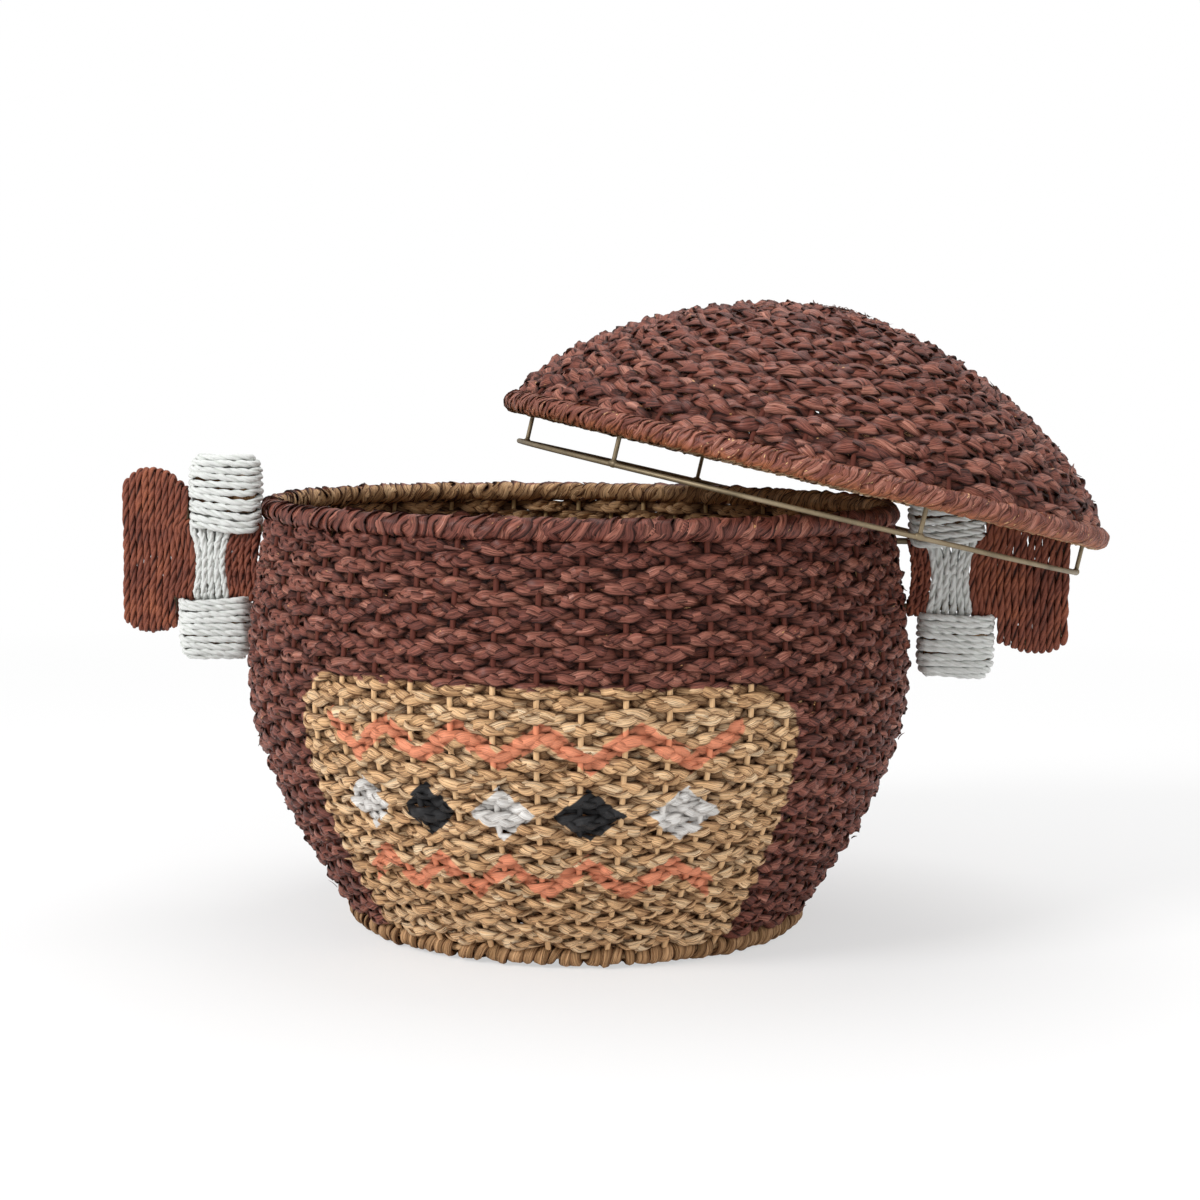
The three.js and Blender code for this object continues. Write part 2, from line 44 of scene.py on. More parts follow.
# Where each piece's random choices start
seeds = {
    "wallPlaits": 100,
    "basketStakes": 200,
    "rimWrap": 210,
    "baseWrap": 211,
    "floorPlaits": 220,
    "lidPlaits": 300,
    "lidRibs": 310,
    "lidWrap": 311,
    "locatingRing": 320,
    "ringPosts": 330,
    "leftHandle": 400,
    "rightHandle": 420,
}

# Camera, where the photograph was taken from
camera = {
    "place": (0.1615, -1.4129, 0.3472),
    "heading": (-0.1045, 0.9945),
    "pitchDown": 5.88,
    "roll": 0.63,
    "lens": 67.54,
    "sensor": 36,
    "clipStart": 0.05,
}


def addCamera():
    data = bpy.data.cameras.new("photoCamera")
    data.lens = camera["lens"]
    data.sensor_width = camera["sensor"]
    data.clip_start = camera["clipStart"]
    pitch = math.radians(camera["pitchDown"])
    roll = math.radians(camera["roll"])
    x, y = camera["heading"]
    ahead = Vector((x * math.cos(pitch), y * math.cos(pitch), -math.sin(pitch))).normalized()
    right = ahead.cross(Vector((0, 0, 1))).normalized()
    up = right.cross(ahead)
    right, up = right * math.cos(roll) + up * math.sin(roll), up * math.cos(roll) - right * math.sin(roll)
    turned = Matrix((right, up, -ahead)).transposed().to_4x4()
    made = bpy.data.objects.new("photoCamera", data)
    made.matrix_world = Matrix.Translation(camera["place"]) @ turned
    bpy.context.scene.collection.objects.link(made)
    bpy.context.scene.camera = made


addCamera()
print("camera placed")


# Shader sockets that can be added, multiplied and compared in an expression
class Wired:
    def __init__(self, finish, socket):
        self.finish = finish
        self.socket = socket

    def other(self, output):
        return Wired(self.finish, self.socket.node.outputs[output])

    def __add__(self, value):
        return self.finish.maths("ADD", self, value)

    def __radd__(self, value):
        return self.finish.maths("ADD", value, self)

    def __sub__(self, value):
        return self.finish.maths("SUBTRACT", self, value)

    def __rsub__(self, value):
        return self.finish.maths("SUBTRACT", value, self)

    def __mul__(self, value):
        return self.finish.maths("MULTIPLY", self, value)

    def __truediv__(self, value):
        return self.finish.maths("DIVIDE", self, value)

    def __abs__(self):
        return self.finish.maths("ABSOLUTE", self)

    # 0 below the edge and 1 above it, with a soft change of that breadth
    def over(self, edge, breadth):
        return self.finish.node("ShaderNodeClamp", {}, {0: (self - edge) / breadth + 0.5})


def linear(code):
    channels = [int(code[i:i + 2], 16) / 255 for i in (1, 3, 5)]
    return (*(c / 12.92 if c <= 0.04045 else ((c + 0.055) / 1.055) ** 2.4 for c in channels), 1)


class Finish:
    def __init__(self, name, tree=None):
        if tree is None:
            self.material = bpy.data.materials.new(name)
            self.material.use_nodes = True
            tree = self.material.node_tree
        self.tree = tree
        self.tree.nodes.clear()

    def node(self, kind, settings=None, sockets=None, output=0):
        made = self.tree.nodes.new(kind)
        for key, value in (settings or {}).items():
            if key == "stops":
                ramp = made.color_ramp
                while len(ramp.elements) < len(value):
                    ramp.elements.new(1)
                for element, (at, code) in zip(ramp.elements, value):
                    element.position = at
                    element.color = linear(code)
            else:
                setattr(made, key, value)
        for key, value in (sockets or {}).items():
            if isinstance(value, Wired):
                self.tree.links.new(value.socket, made.inputs[key])
            else:
                made.inputs[key].default_value = value
        return Wired(self, made.outputs[output]) if made.outputs else None

    def maths(self, operation, first, second=0.0):
        return self.node("ShaderNodeMath", {"operation": operation}, {0: first, 1: second})

    def attribute(self, name):
        vector = self.node("ShaderNodeAttribute", {"attribute_name": name}, output="Vector")
        return self.split(vector)

    def split(self, vector):
        first = self.node("ShaderNodeSeparateXYZ", {}, {0: vector})
        return first, first.other(1), first.other(2)

    def join(self, x, y, z):
        return self.node("ShaderNodeCombineXYZ", {}, {0: x, 1: y, 2: z})

    def noise(self, place, scale, detail=2.0, roughness=0.5):
        sockets = {"Vector": place, "Scale": scale, "Detail": detail, "Roughness": roughness}
        return self.node("ShaderNodeTexNoise", {}, sockets, "Fac")

    # Where on its object a point is, for noise that runs on from strand to strand
    def place(self):
        return self.node("ShaderNodeTexCoord", output="Object")

    def ramp(self, value, *stops):
        return self.node("ShaderNodeValToRGB", {"stops": stops}, {0: value})

    # The colour sockets of Blender's mix node are its inputs 6 and 7 and its output 2
    def mix(self, factor, low, high, way="MIX"):
        ends = [linear(end) if isinstance(end, str) else end for end in (low, high)]
        settings = {"data_type": "RGBA", "blend_type": way}
        return self.node("ShaderNodeMix", settings, {0: factor, 6: ends[0], 7: ends[1]}, 2)

    def times(self, first, second):
        return self.mix(1.0, first, second, "MULTIPLY")

    def bump(self, height, strength, distance):
        sockets = {"Height": height, "Strength": strength, "Distance": distance}
        return self.node("ShaderNodeBump", {}, sockets)

    def surface(self, sockets):
        shader = self.node("ShaderNodeBsdfPrincipled", {}, sockets)
        self.node("ShaderNodeOutputMaterial", {}, {"Surface": shader})
        return self.material

    # A surface with a fine grain that makes it rougher and stands out a little
    def grained(self, base, grain, looks):
        plain, rougher = looks["rough"]
        return self.surface({
            "Base Color": base,
            "Metallic": looks["metallic"],
            "Roughness": plain + grain * rougher,
            "Normal": self.bump(grain, *looks["bump"]),
            "Specular IOR Level": looks["gloss"],
        })


# Lines and swept strands


def unit(vectors):
    return vectors / np.linalg.norm(vectors, axis=-1, keepdims=True)


# A slow irregular wave round a closed row, at its highest about the size given: a few waves picked at random
waveMix = {
    "count": 6,
    "sizes": (0.5, 1),
    "highest": 2.4,
}


def wander(turn, random, size, waves):
    count = waveMix["count"]
    picked = random.integers(*waves, count)
    shifts = random.uniform(0, fullTurn, count)
    sizes = random.uniform(*waveMix["sizes"], count)
    mixed = sum(s * np.cos(w * turn + p) for w, p, s in zip(picked, shifts, sizes))
    return size * (mixed / waveMix["highest"])


# Points or directions round the axis, from how far out of it and how high each one is
def roundAxis(turn, out, height):
    return np.stack([out * np.cos(turn), out * np.sin(turn), height + 0 * turn], 1)


class Profile:
    # A line in the plane through an axis, in millimetres, read by the distance along it
    def __init__(self, points):
        self.points = np.array(points, float)
        steps = np.linalg.norm(np.diff(self.points, axis=0), axis=1)
        self.along = np.concatenate([[0], np.cumsum(steps)])
        self.length = self.along[-1]
        way = unit(np.gradient(self.points, self.along, axis=0))
        self.outward = np.stack([way[:, 1], -way[:, 0]], 1)

    def read(self, along, out=0.0):
        normal = [np.interp(along, self.along, self.outward[:, k]) for k in (0, 1)]
        place = [np.interp(along, self.along, self.points[:, k]) + normal[k] * out for k in (0, 1)]
        return place, normal

    def around(self, turn, along, out):
        place, outward = self.read(along, out)
        return roundAxis(turn, *place), roundAxis(turn, *outward)


# A leaf's folds are drawn sharp from this angle on, in degrees
leafCrease = 24
# Each strand's pattern starts somewhere in so many metres
patternRange = 10
# How far a strand's depth in the weave changes how open to light it is, which the leaf finishes paint as
# shade
depthGain = 0.62


# Gathers strands into one mesh, with the coordinates that their finish reads
class Strands:
    def __init__(self, seed, crease=0):
        self.random = np.random.default_rng(seed)
        self.crease = crease
        self.points = []
        self.looks = []
        self.quads = []
        self.caps = []
        self.count = 0

    # Sweeps a section, given as steps across and out in millimetres, along a path
    def sweep(self, path, outward, section, closed=True, roll=0.0, paintSide=None, depth=None):
        path = np.asarray(path, float)
        ahead = np.roll(path, -1, 0) - np.roll(path, 1, 0) if closed else np.gradient(path, axis=0)
        ahead = unit(ahead)
        across = unit(np.cross(ahead, outward))
        out = np.cross(across, ahead)
        cosine, sine = np.cos(roll), np.sin(roll)
        if np.ndim(roll):
            cosine, sine = cosine[:, None], sine[:, None]
        across, out = across * cosine + out * sine, out * cosine - across * sine
        section = np.broadcast_to(section, (len(path), *np.shape(section)[-2:]))
        sides = section.shape[1]
        points = path[:, None] + across[:, None] * section[..., :1] + out[:, None] * section[..., 1:]
        angles = np.arange(sides) * fullTurn / sides
        normals = across[:, None] * np.cos(angles)[:, None] + out[:, None] * np.sin(angles)[:, None]
        side = np.asarray(outward if paintSide is None else paintSide)
        facing = np.einsum("ikc,ic->ik", normals, side)
        steps = np.linalg.norm(np.diff(path, axis=0), axis=1)
        run = np.concatenate([[0], np.cumsum(steps)]) * mm + self.random.uniform(0, patternRange)
        looks = np.empty((len(path), sides, 6))
        looks[..., 0] = run[:, None]
        looks[..., 1] = np.cos(angles)
        looks[..., 2] = np.sin(angles)
        looks[..., 3] = facing
        looks[..., 4] = self.random.uniform()
        looks[..., 5] = 1.0
        # The last column is how open to light each point is, which the leaf finishes turn into painted shade
        if depth is not None:
            looks[..., 5] = np.clip(0.5 + depthGain * depth[:, None] * facing, 0, 1)
        rings = np.arange(len(path) if closed else len(path) - 1)[:, None]
        around = np.arange(sides)[None]
        after = (rings + 1) % len(path)
        beside = (around + 1) % sides
        here, there = rings * sides, after * sides
        corners = [here + around, there + around, there + beside, here + beside]
        self.quads.append(self.count + np.stack(corners, -1).reshape(-1, 4))
        if not closed:
            first = self.count + np.arange(sides)
            self.caps += [first, (first + (len(path) - 1) * sides)[::-1]]
        self.points.append(points.reshape(-1, 3))
        self.looks.append(looks.reshape(-1, 6))
        self.count += len(path) * sides

    def make(self, name, finish, place=None):
        mesh = bpy.data.meshes.new(name)
        points = np.concatenate(self.points) * mm
        quads = np.concatenate(self.quads)
        corners = np.concatenate([quads.ravel(), *self.caps]).astype(np.int32)
        sizes = np.array([4] * len(quads) + [len(cap) for cap in self.caps])
        starts = np.concatenate([[0], np.cumsum(sizes)[:-1]]).astype(np.int32)
        mesh.vertices.add(len(points))
        mesh.vertices.foreach_set("co", points.astype(np.float32).ravel())
        mesh.loops.add(len(corners))
        mesh.loops.foreach_set("vertex_index", corners)
        mesh.polygons.add(len(starts))
        mesh.polygons.foreach_set("loop_start", starts)
        mesh.update(calc_edges=True)
        mesh.shade_smooth()
        if self.crease:
            mesh.set_sharp_from_angle(angle=math.radians(self.crease))
        looks = np.concatenate(self.looks).astype(np.float32)
        for key, columns in (("strand", looks[:, :3]), ("leaf", looks[:, 3:])):
            mesh.attributes.new(key, "FLOAT_VECTOR", "POINT").data.foreach_set("vector", columns.ravel())
        if place is not None:
            mesh.transform(place)
        mesh.materials.append(finish)
        made = bpy.data.objects.new(name, mesh)
        bpy.context.scene.collection.objects.link(made)
        return made


# A leaf's section, in shares of its half width and half thickness: thin edges, and on each face two
# shoulders and a fold between them that wanders from side to side
leafShape = {
    "shoulder": (0.72, 0.7),
    "fold": 1.15,
    "foldStray": 0.42,
    "shoulderStray": 0.14,
    "waves": (8, 60),
}


def leafSection(turn, random, halfWidth, halfThick):
    across, out = leafShape["shoulder"]
    waves = leafShape["waves"]
    shape = np.zeros((len(turn), 8, 2))
    for face in (1, -1):
        fold = wander(turn, random, leafShape["foldStray"], waves)
        slope = wander(turn, random, leafShape["shoulderStray"], waves)
        corners = ((1, across, out + slope), (2, fold, leafShape["fold"]), (3, -across, out - slope))
        for k, side, rise in corners:
            corner = k if face > 0 else 8 - k
            shape[:, corner, 0] = side
            shape[:, corner, 1] = face * rise
    shape[:, 0, 0] = 1
    shape[:, 4, 0] = -1
    shape[..., 0] *= np.broadcast_to(halfWidth, len(turn))[:, None]
    shape[..., 1] *= np.broadcast_to(halfThick, len(turn))[:, None]
    return shape


def roundSection(radius, sides, flat=1.0):
    angles = np.arange(sides) * fullTurn / sides
    return np.stack([radius * np.cos(angles), radius * flat * np.sin(angles)], 1)


# How a plait strays from even. An inner pair is the fewest and most waves round a row.
plaitShape = {
    "leastSteps": 24,
    "leastCrossings": 2,
    "bow": 0.3,
    "out": (0.35, (5, 40)),
    "rowWaves": (3, 26),
    "width": (0.1, (6, 50)),
    "lag": (0.5, (3, 30)),
    "leaf": (0.16, (8, 60)),
    "thick": (0.15, (8, 60)),
    "roll": (0.34, (10, 70)),
    "edgeShare": 0.8,
    "leastSide": 0.6,
    "spindle": (0.8, 0.3),
}


# One row of three-strand plait, woven in front of one stake and behind the next
def plaitRow(work, profile, level, stakes, phase, looks):
    random = work.random
    shape = plaitShape
    (radius, _), _ = profile.read(level)
    girth = fullTurn * radius
    count = max(shape["leastSteps"], int(girth / looks["step"]))
    turn = np.arange(count) * fullTurn / count
    swing = np.cos(stakes / 2 * turn + phase)
    bow = shape["bow"]
    out = looks["reach"] * swing * (1 + bow - bow * swing**2) + wander(turn, random, *shape["out"])
    row = level + wander(turn, random, looks["stray"], shape["rowWaves"])
    full = np.where(swing > 0, swing, -looks["backFull"] * swing)
    filled = looks["pinch"] + (1 - looks["pinch"]) * full
    width = looks["size"] * filled * (1 + wander(turn, random, *shape["width"]))
    crossings = max(shape["leastCrossings"], round(girth / looks["lay"]))
    hand = random.choice([-1, 1])
    lag = wander(turn, random, *shape["lag"])
    narrow, swell = shape["spindle"]
    for strand in range(3):
        step = hand * crossings * turn + lag + strand * fullTurn / 3
        halfLeaf = looks["leaf"] / 2 * (1 + wander(turn, random, *shape["leaf"]))
        side = np.sin(step) * np.maximum(width / 2 - shape["edgeShare"] * halfLeaf, shape["leastSide"])
        deep = np.sin(2 * step) * looks["lift"]
        place, outward = profile.around(turn, row + side, out + deep)
        halfThick = looks["thick"] / 2 * (1 + wander(turn, random, *shape["thick"]))
        roll = wander(turn, random, *shape["roll"]) + looks["turnOver"] * np.sin(step)
        spindle = narrow + swell * np.abs(np.sin(2 * step))
        section = leafSection(turn, random, halfLeaf * spindle, halfThick)
        work.sweep(place, outward, section, roll=roll, depth=(out + deep) / looks["reach"])


# How far a wound leaf's width and thickness stray, as shares
bandStray = {
    "leaf": 0.32,
    "thick": 0.3,
}


# Leaves wound round a hoop, side by side, and slanted by how many run together
def whipHoop(work, radius, height, looks):
    random = work.random
    bands = round(fullTurn * radius / looks["pitch"])
    starts = looks["starts"]
    bands -= bands % starts
    quick, slow = (bands // 3, bands), (bands // 4, bands)
    count = bands * looks["stepsPerTurn"] // starts
    turn = np.arange(count) * fullTurn / count
    for start in range(starts):
        wound = bands / starts * turn + start * fullTurn / starts
        reach = looks["tube"] * (1 + wander(turn, random, looks["bulge"], quick))
        swerve = turn + wander(turn, random, looks["stray"] / radius, slow)
        level, rise = np.cos(wound), np.sin(wound)
        place = roundAxis(swerve, radius + reach * level, height + reach * rise)
        outward = roundAxis(swerve, level, rise)
        paintSide = roundAxis(swerve, 1.0, looks["paintUp"])
        halfLeaf = looks["leaf"] / 2 * (1 + wander(turn, random, bandStray["leaf"], slow))
        halfThick = looks["thick"] / 2 * (1 + wander(turn, random, bandStray["thick"], slow))
        roll = looks["tilt"] + wander(turn, random, looks["rock"], slow)
        section = leafSection(turn, random, halfLeaf, halfThick)
        work.sweep(place, outward, section, roll=roll, paintSide=paintSide)


# A rod's section is an oval to the first power times its half sizes to the second, which fills its corners
rodShape = {
    "sides": 8,
    "powers": (0.8, 0.2),
    "step": 4.0,
    "leastRings": 3,
}


# Rods round a profile, from its foot up, that end at the first level and at the second one by turns
def stakeRods(work, profile, count, ends, width, thick):
    half = np.array([width, thick]) / 2
    section = roundSection(1.0, rodShape["sides"]) * half
    power, rest = rodShape["powers"]
    section = np.sign(section) * np.abs(section) ** power * half**rest
    for i in range(count):
        end = ends[i % 2]
        along = np.linspace(0, end, max(rodShape["leastRings"], int(end / rodShape["step"])))
        angle = i * fullTurn / count
        place, outward = profile.around(along * 0 + angle, along, 0.0)
        work.sweep(place, outward, section, closed=False)


def hoopRod(work, radius, height, wire, sides=10, segments=160):
    turn = np.arange(segments) * fullTurn / segments
    work.sweep(roundAxis(turn, radius, height), roundAxis(turn, 1.0, 0.0), roundSection(wire / 2, sides))


looseLooks = {
    "length": (5, 12),
    "swerve": 0.5,
    "steps": 5,
    "lift": (0.8, 2.6),
    "sink": 0.8,
    "taper": 0.85,
    "taperPower": 1.5,
    "halfWidth": (0.6, 1.3),
    "sides": 5,
    "flat": 0.35,
}


# Loose ends of leaves that stand a little off the weave
def looseEnds(work, profile, count, levels, out):
    random = work.random
    looks = looseLooks
    share = np.linspace(0, 1, looks["steps"])
    taper = (1 - looks["taper"] * share ** looks["taperPower"])[:, None, None]
    for _ in range(count):
        angle = random.uniform(0, fullTurn)
        level = random.uniform(*levels)
        heading = random.uniform(-looks["swerve"], looks["swerve"]) + random.choice([0, math.pi])
        long = random.uniform(*looks["length"])
        (radius, _), _ = profile.read(level)
        turn = angle + share * long * math.cos(heading) / radius
        along = level + share * long * math.sin(heading)
        lift = out + share**2 * random.uniform(*looks["lift"]) - looks["sink"]
        place, outward = profile.around(turn, along, lift)
        section = roundSection(random.uniform(*looks["halfWidth"]), looks["sides"], looks["flat"])
        work.sweep(place, outward, section * taper, closed=False)


# Finishes


def leafCoordinates(finish):
    return *finish.attribute("strand"), *finish.attribute("leaf")


# Noise along a strand. A grain is its waves along and across, and Blender's scale, detail and roughness.
def strandNoise(finish, strand, shift, grain):
    along, across, out = strand
    lengthwise, crosswise, *settings = grain
    place = finish.join(along * lengthwise, across * crosswise + shift, out * crosswise)
    return finish.noise(place, *settings)


# What all leaves share: the grain and share of each noise, and the middle and breadth of each soft change
leafPattern = {
    "strandShift": 37.0,
    "fibres": (45.0, 2.6, 3.0, 4.0, 0.6),
    "streaks": (12.0, 1.4, 3.0, 2.0),
    "veins": (14.0, 1.3, 3.0, 3.0),
    "chips": (260.0, 2.0, 1.0, 3.0),
    "patches": (30.0, 0.3),
    "wear": 9.0,
    "tone": {"patches": 0.7, "strands": 0.5, "fibres": 0.6, "streaks": 1.1, "least": 0.1},
    # wrinkleShadeLine, crest and open set where painted shade falls: along wrinkle creases, towards leaf
    # edges and on strands deep in the weave; crest and open also set the coat
    "wrinkleShadeLine": (0.025, 0.04),
    "ridged": (0.06, 0.12),
    "crest": (0.5, 0.95),
    "open": (0.42, 0.75),
    "stained": (0.55, 0.5),
    "stainPatches": 0.9,
    "chipSoftness": 0.03,
    "paintSoftness": 0.25,
    "paintFibres": 0.5,
    "bareRough": (0.72, 0.1),
    "paintRough": (0.68, 0.24, 0.12),
    "relief": {"fibres": 0.4, "streaks": 0.4, "ridges": 0.3},
    "bumpDepth": 0.0011,
    "coated": (0.6, 0.5),
    "coatRough": 0.38,
}


def leafSurface(finish, looks, field=None):
    pattern = leafPattern
    along, across, out, facing, chance, openness = leafCoordinates(finish)
    leaf = along, across, out
    shift = chance * pattern["strandShift"]
    fibres = strandNoise(finish, leaf, shift, pattern["fibres"])
    streaks = strandNoise(finish, leaf, shift, pattern["streaks"])
    veins = strandNoise(finish, leaf, shift * -1, pattern["veins"])
    lengthwise, crosswise = pattern["patches"]
    patches = finish.noise(finish.join(along * lengthwise, shift, across * crosswise), 1.0, 2.0)
    share = pattern["tone"]
    tone = patches * share["patches"] + (chance - 0.5) * share["strands"]
    tone = tone + (fibres - 0.5) * share["fibres"] + (streaks - 0.5) * share["streaks"] + share["least"]
    # Painted shade: each leaf is darker towards its edges, where it meets the next strand, by the crevice
    # shade colour
    crest = abs(out).over(*pattern["crest"])
    dim = finish.mix(crest, looks["creviceShade"], white)
    # Painted shade on strands that lie deep in the weave
    recessShade = finish.mix(openness.over(*pattern["open"]), looks["recessShade"], white)
    # Painted shade along the leaf's wrinkle creases, where its bump makes ridges
    wrinkleShade = finish.mix(abs(veins - 0.5).over(*pattern["wrinkleShadeLine"]), looks["wrinkleShade"], white)
    # depth is the recess and wrinkle painted shade, and dims adds the edge shade to it
    depth = finish.times(recessShade, wrinkleShade)
    dims = finish.times(dim, depth)
    straw = finish.times(finish.ramp(tone, *looks["straw"]), dims)
    if "paint" not in looks:
        base = straw
        plain, grain = pattern["bareRough"]
        rough = plain + fibres * grain
    else:
        paint = finish.ramp(tone, *looks["paint"])
        if "stain" in looks:
            bright = facing + (patches - 0.5) * pattern["stainPatches"]
            paint = finish.mix(bright.over(*pattern["stained"]), looks["stain"], paint)
        # Painted shade on the painted leaf too: darker towards its edges, then the recess and wrinkle shade
        paint = finish.times(paint, finish.mix(crest, looks["paintCreviceShade"], white))
        paint = finish.times(paint, depth)
        chips = strandNoise(finish, leaf, shift, pattern["chips"])
        wear = finish.noise(finish.join(along * pattern["wear"], shift, 0.0), 1.0, 1.0)
        chipped = (chips + wear * looks["wearShare"]).over(looks["chipOver"], pattern["chipSoftness"])
        reached = facing + (fibres - 0.5) * pattern["paintFibres"]
        covered = reached.over(looks["paintFrom"], pattern["paintSoftness"]) * (1 - chipped)
        plain, gloss, grain = pattern["paintRough"]
        rough = plain - covered * gloss + fibres * grain
        shade = finish.mix(covered, finish.mix(chipped, straw, looks["chip"]), paint)
        base = shade if field is None else field(finish, shade, facing, chance, tone, dims)
    relief = pattern["relief"]
    ridges = abs(veins - 0.5).over(*pattern["ridged"])
    height = fibres * relief["fibres"] + streaks * relief["streaks"] + ridges * relief["ridges"]
    return finish.surface({
        "Base Color": base,
        "Roughness": rough,
        "Normal": finish.bump(height, looks["grain"], pattern["bumpDepth"]),
        "Specular IOR Level": looks["gloss"],
        "Coat Weight": crest * openness.over(*pattern["coated"]) * looks["sheen"],
        "Coat Roughness": pattern["coatRough"],
    })


leafLooks = {
    "straw": ((0.12, "#94714a"), (0.38, "#ca9f74"), (0.62, "#e2b689"), (0.9, "#f4cfa2")),
    # creviceShade, recessShade and wrinkleShade are painted shade colours that multiply the leaf
    "creviceShade": "#80674e",
    "recessShade": "#86705a",
    "wrinkleShade": "#a09080",
    "grain": 0.8,
    "gloss": 0.25,
    "sheen": 0.06,
}
paintLooks = {
    **leafLooks,
    "straw": ((0.12, "#a9825a"), (0.38, "#d2a678"), (0.62, "#e6bb8c"), (0.9, "#f8d3a4")),
    "paint": ((0.1, "#62332a"), (0.38, "#894e41"), (0.62, "#a06150"), (0.9, "#c68874")),
    # paintCreviceShade, recessShade and wrinkleShade are painted shade colours for the painted leaf
    "paintCreviceShade": "#4c302a",
    "recessShade": "#5e493c",
    "wrinkleShade": "#8c7a72",
    "chip": "#dba86c",
    "wearShare": 0.2,
    "chipOver": 0.85,
    "paintFrom": -0.3,
    "gloss": 0.2,
    "sheen": 0.22,
}

# The front's unpainted field and the bands on it: places in metres round the wall and up it
fieldLooks = {
    "heading": (0.1045, -0.9945),
    "bellyRadius": 0.204,
    "halfWidth": 0.157,
    "top": 0.172,
    "corner": 0.03,
    "straw": ((0.12, "#cb9e70"), (0.38, "#facb96"), (0.62, "#ffd8a8"), (0.9, "#ffe8c4")),
    "patternHalfWidth": 0.125,
    "cell": 0.05,
    "lozengeLevel": 0.1,
    "lozengeHalfWidth": 0.0195,
    "lozengeHalfHeight": 0.0165,
    "zigzagLevels": (0.14, 0.06),
    "zigzagRise": 0.018,
    "zigzagBreadth": 0.012,
    "driftScale": 90.0,
    "driftRound": 0.006,
    "driftUp": 0.004,
    "strandDrift": 0.003,
    "outside": (-0.3, 0.25),
    "fieldSoftness": 0.0012,
    "bandSoftness": 0.001,
    "lozengeSoftness": 0.05,
    # How far the motifs are spared the leaf's painted shade and the rod's grain
    "motifShadeAndGrainEase": 0.5,
    "coral": "#f69c76",
    "white": "#f4f2ee",
    "black": "#2b2b2d",
}


def frontField(finish, shade, facing, chance, tone, dims):
    looks = fieldLooks
    place = finish.place()
    x, y, z = finish.split(place)
    ahead, aside = looks["heading"]
    front = x * ahead + y * aside
    side = y * -ahead + x * -aside
    drift = finish.noise(place, looks["driftScale"], 2.0) - 0.5
    roundWall = finish.maths("ARCTAN2", side, front) * looks["bellyRadius"] + drift * looks["driftRound"]
    level = z + (chance - 0.5) * looks["strandDrift"] + drift * looks["driftUp"]
    overSide = abs(roundWall) - (looks["halfWidth"] - looks["corner"])
    overTop = level - (looks["top"] - looks["corner"])
    past = [finish.maths("MAXIMUM", edge, 0.0) for edge in (overSide, overTop)]
    away = finish.maths("SQRT", past[0] * past[0] + past[1] * past[1])
    outside = facing.over(*looks["outside"])
    bare = 1 - away.over(looks["corner"], looks["fieldSoftness"])
    # dims is painted shade on the leaves and grain on the rods: it darkens the field's straw, and eased by
    # half it darkens the motifs
    pale = finish.times(finish.ramp(tone, *looks["straw"]), dims)
    base = finish.mix(bare * outside, shade, pale)
    motifShadeAndGrain = finish.mix(looks["motifShadeAndGrainEase"], dims, white)
    cell = looks["cell"]
    soft = looks["bandSoftness"]
    inCell = finish.maths("PINGPONG", roundWall, cell / 2)
    shown = (1 - abs(roundWall).over(looks["patternHalfWidth"], soft)) * outside
    coral = finish.times(motifShadeAndGrain, looks["coral"])
    for sign, middle in zip((1, -1), looks["zigzagLevels"]):
        line = (inCell / (cell / 2) - 0.5) * looks["zigzagRise"] * sign + middle
        stripe = 1 - abs(level - line).over(looks["zigzagBreadth"] / 2, soft)
        base = finish.mix(stripe * shown, base, coral)
    spread = inCell / looks["lozengeHalfWidth"]
    rise = abs(level - looks["lozengeLevel"]) / looks["lozengeHalfHeight"]
    lozenge = (1 - (spread + rise).over(1.0, looks["lozengeSoftness"])) * shown
    number = finish.maths("FLOOR", roundWall / cell + 0.5)
    odd = finish.maths("PINGPONG", number, 1.0)
    tint = finish.times(finish.mix(odd, looks["white"], looks["black"]), motifShadeAndGrain)
    return finish.mix(lozenge, base, tint)


finishes = {
    "wall": leafSurface(Finish("paintedPlait"), paintLooks, frontField),
    "rim": leafSurface(Finish("paintedBinding"), {**paintLooks, "chipOver": 0.84}),
    "lid": leafSurface(Finish("paintedLidPlait"), {**paintLooks, "chipOver": 0.84}),
    # The lid's binding has an orange stain on its lower side and lighter painted shade at its leaf edges
    "lidRim": leafSurface(Finish("stainedBinding"), {
        **paintLooks, "stain": "#b06c4a", "chip": "#f0c488", "chipOver": 0.8, "paintCreviceShade": "#7a5348",
    }),
    "natural": leafSurface(Finish("naturalLeaf"), leafLooks),
}


rodLooks = {
    "grain": (60.0, 3.0, 2.0, 3.0),
    "strandShift": 20.0,
    "wood": ((0.2, "#8a7250"), (0.5, "#a98c63"), (0.8, "#c2a476")),
    "paint": ((0.2, "#45201a"), (0.6, "#653327"), (0.9, "#7b4436")),
    "painted": (-0.3, 0.3),
    "dim": "#c8c0b8",
    "metallic": 0.0,
    "rough": (0.6, 0.15),
    "bump": (0.3, 0.0006),
    "gloss": 0.2,
}


def rodSurface(finish, looks):
    *strand, facing, chance, _ = leafCoordinates(finish)
    grain = strandNoise(finish, strand, chance * looks["strandShift"], looks["grain"])
    wood = finish.ramp(grain, *looks["wood"])
    paint = finish.ramp(grain, *looks["paint"])
    shade = finish.mix(facing.over(*looks["painted"]), wood, paint)
    base = frontField(finish, shade, facing, chance, grain, finish.mix(grain, looks["dim"], white))
    return finish.grained(base, grain, looks)


finishes["stakes"] = rodSurface(Finish("stakeRods"), rodLooks)

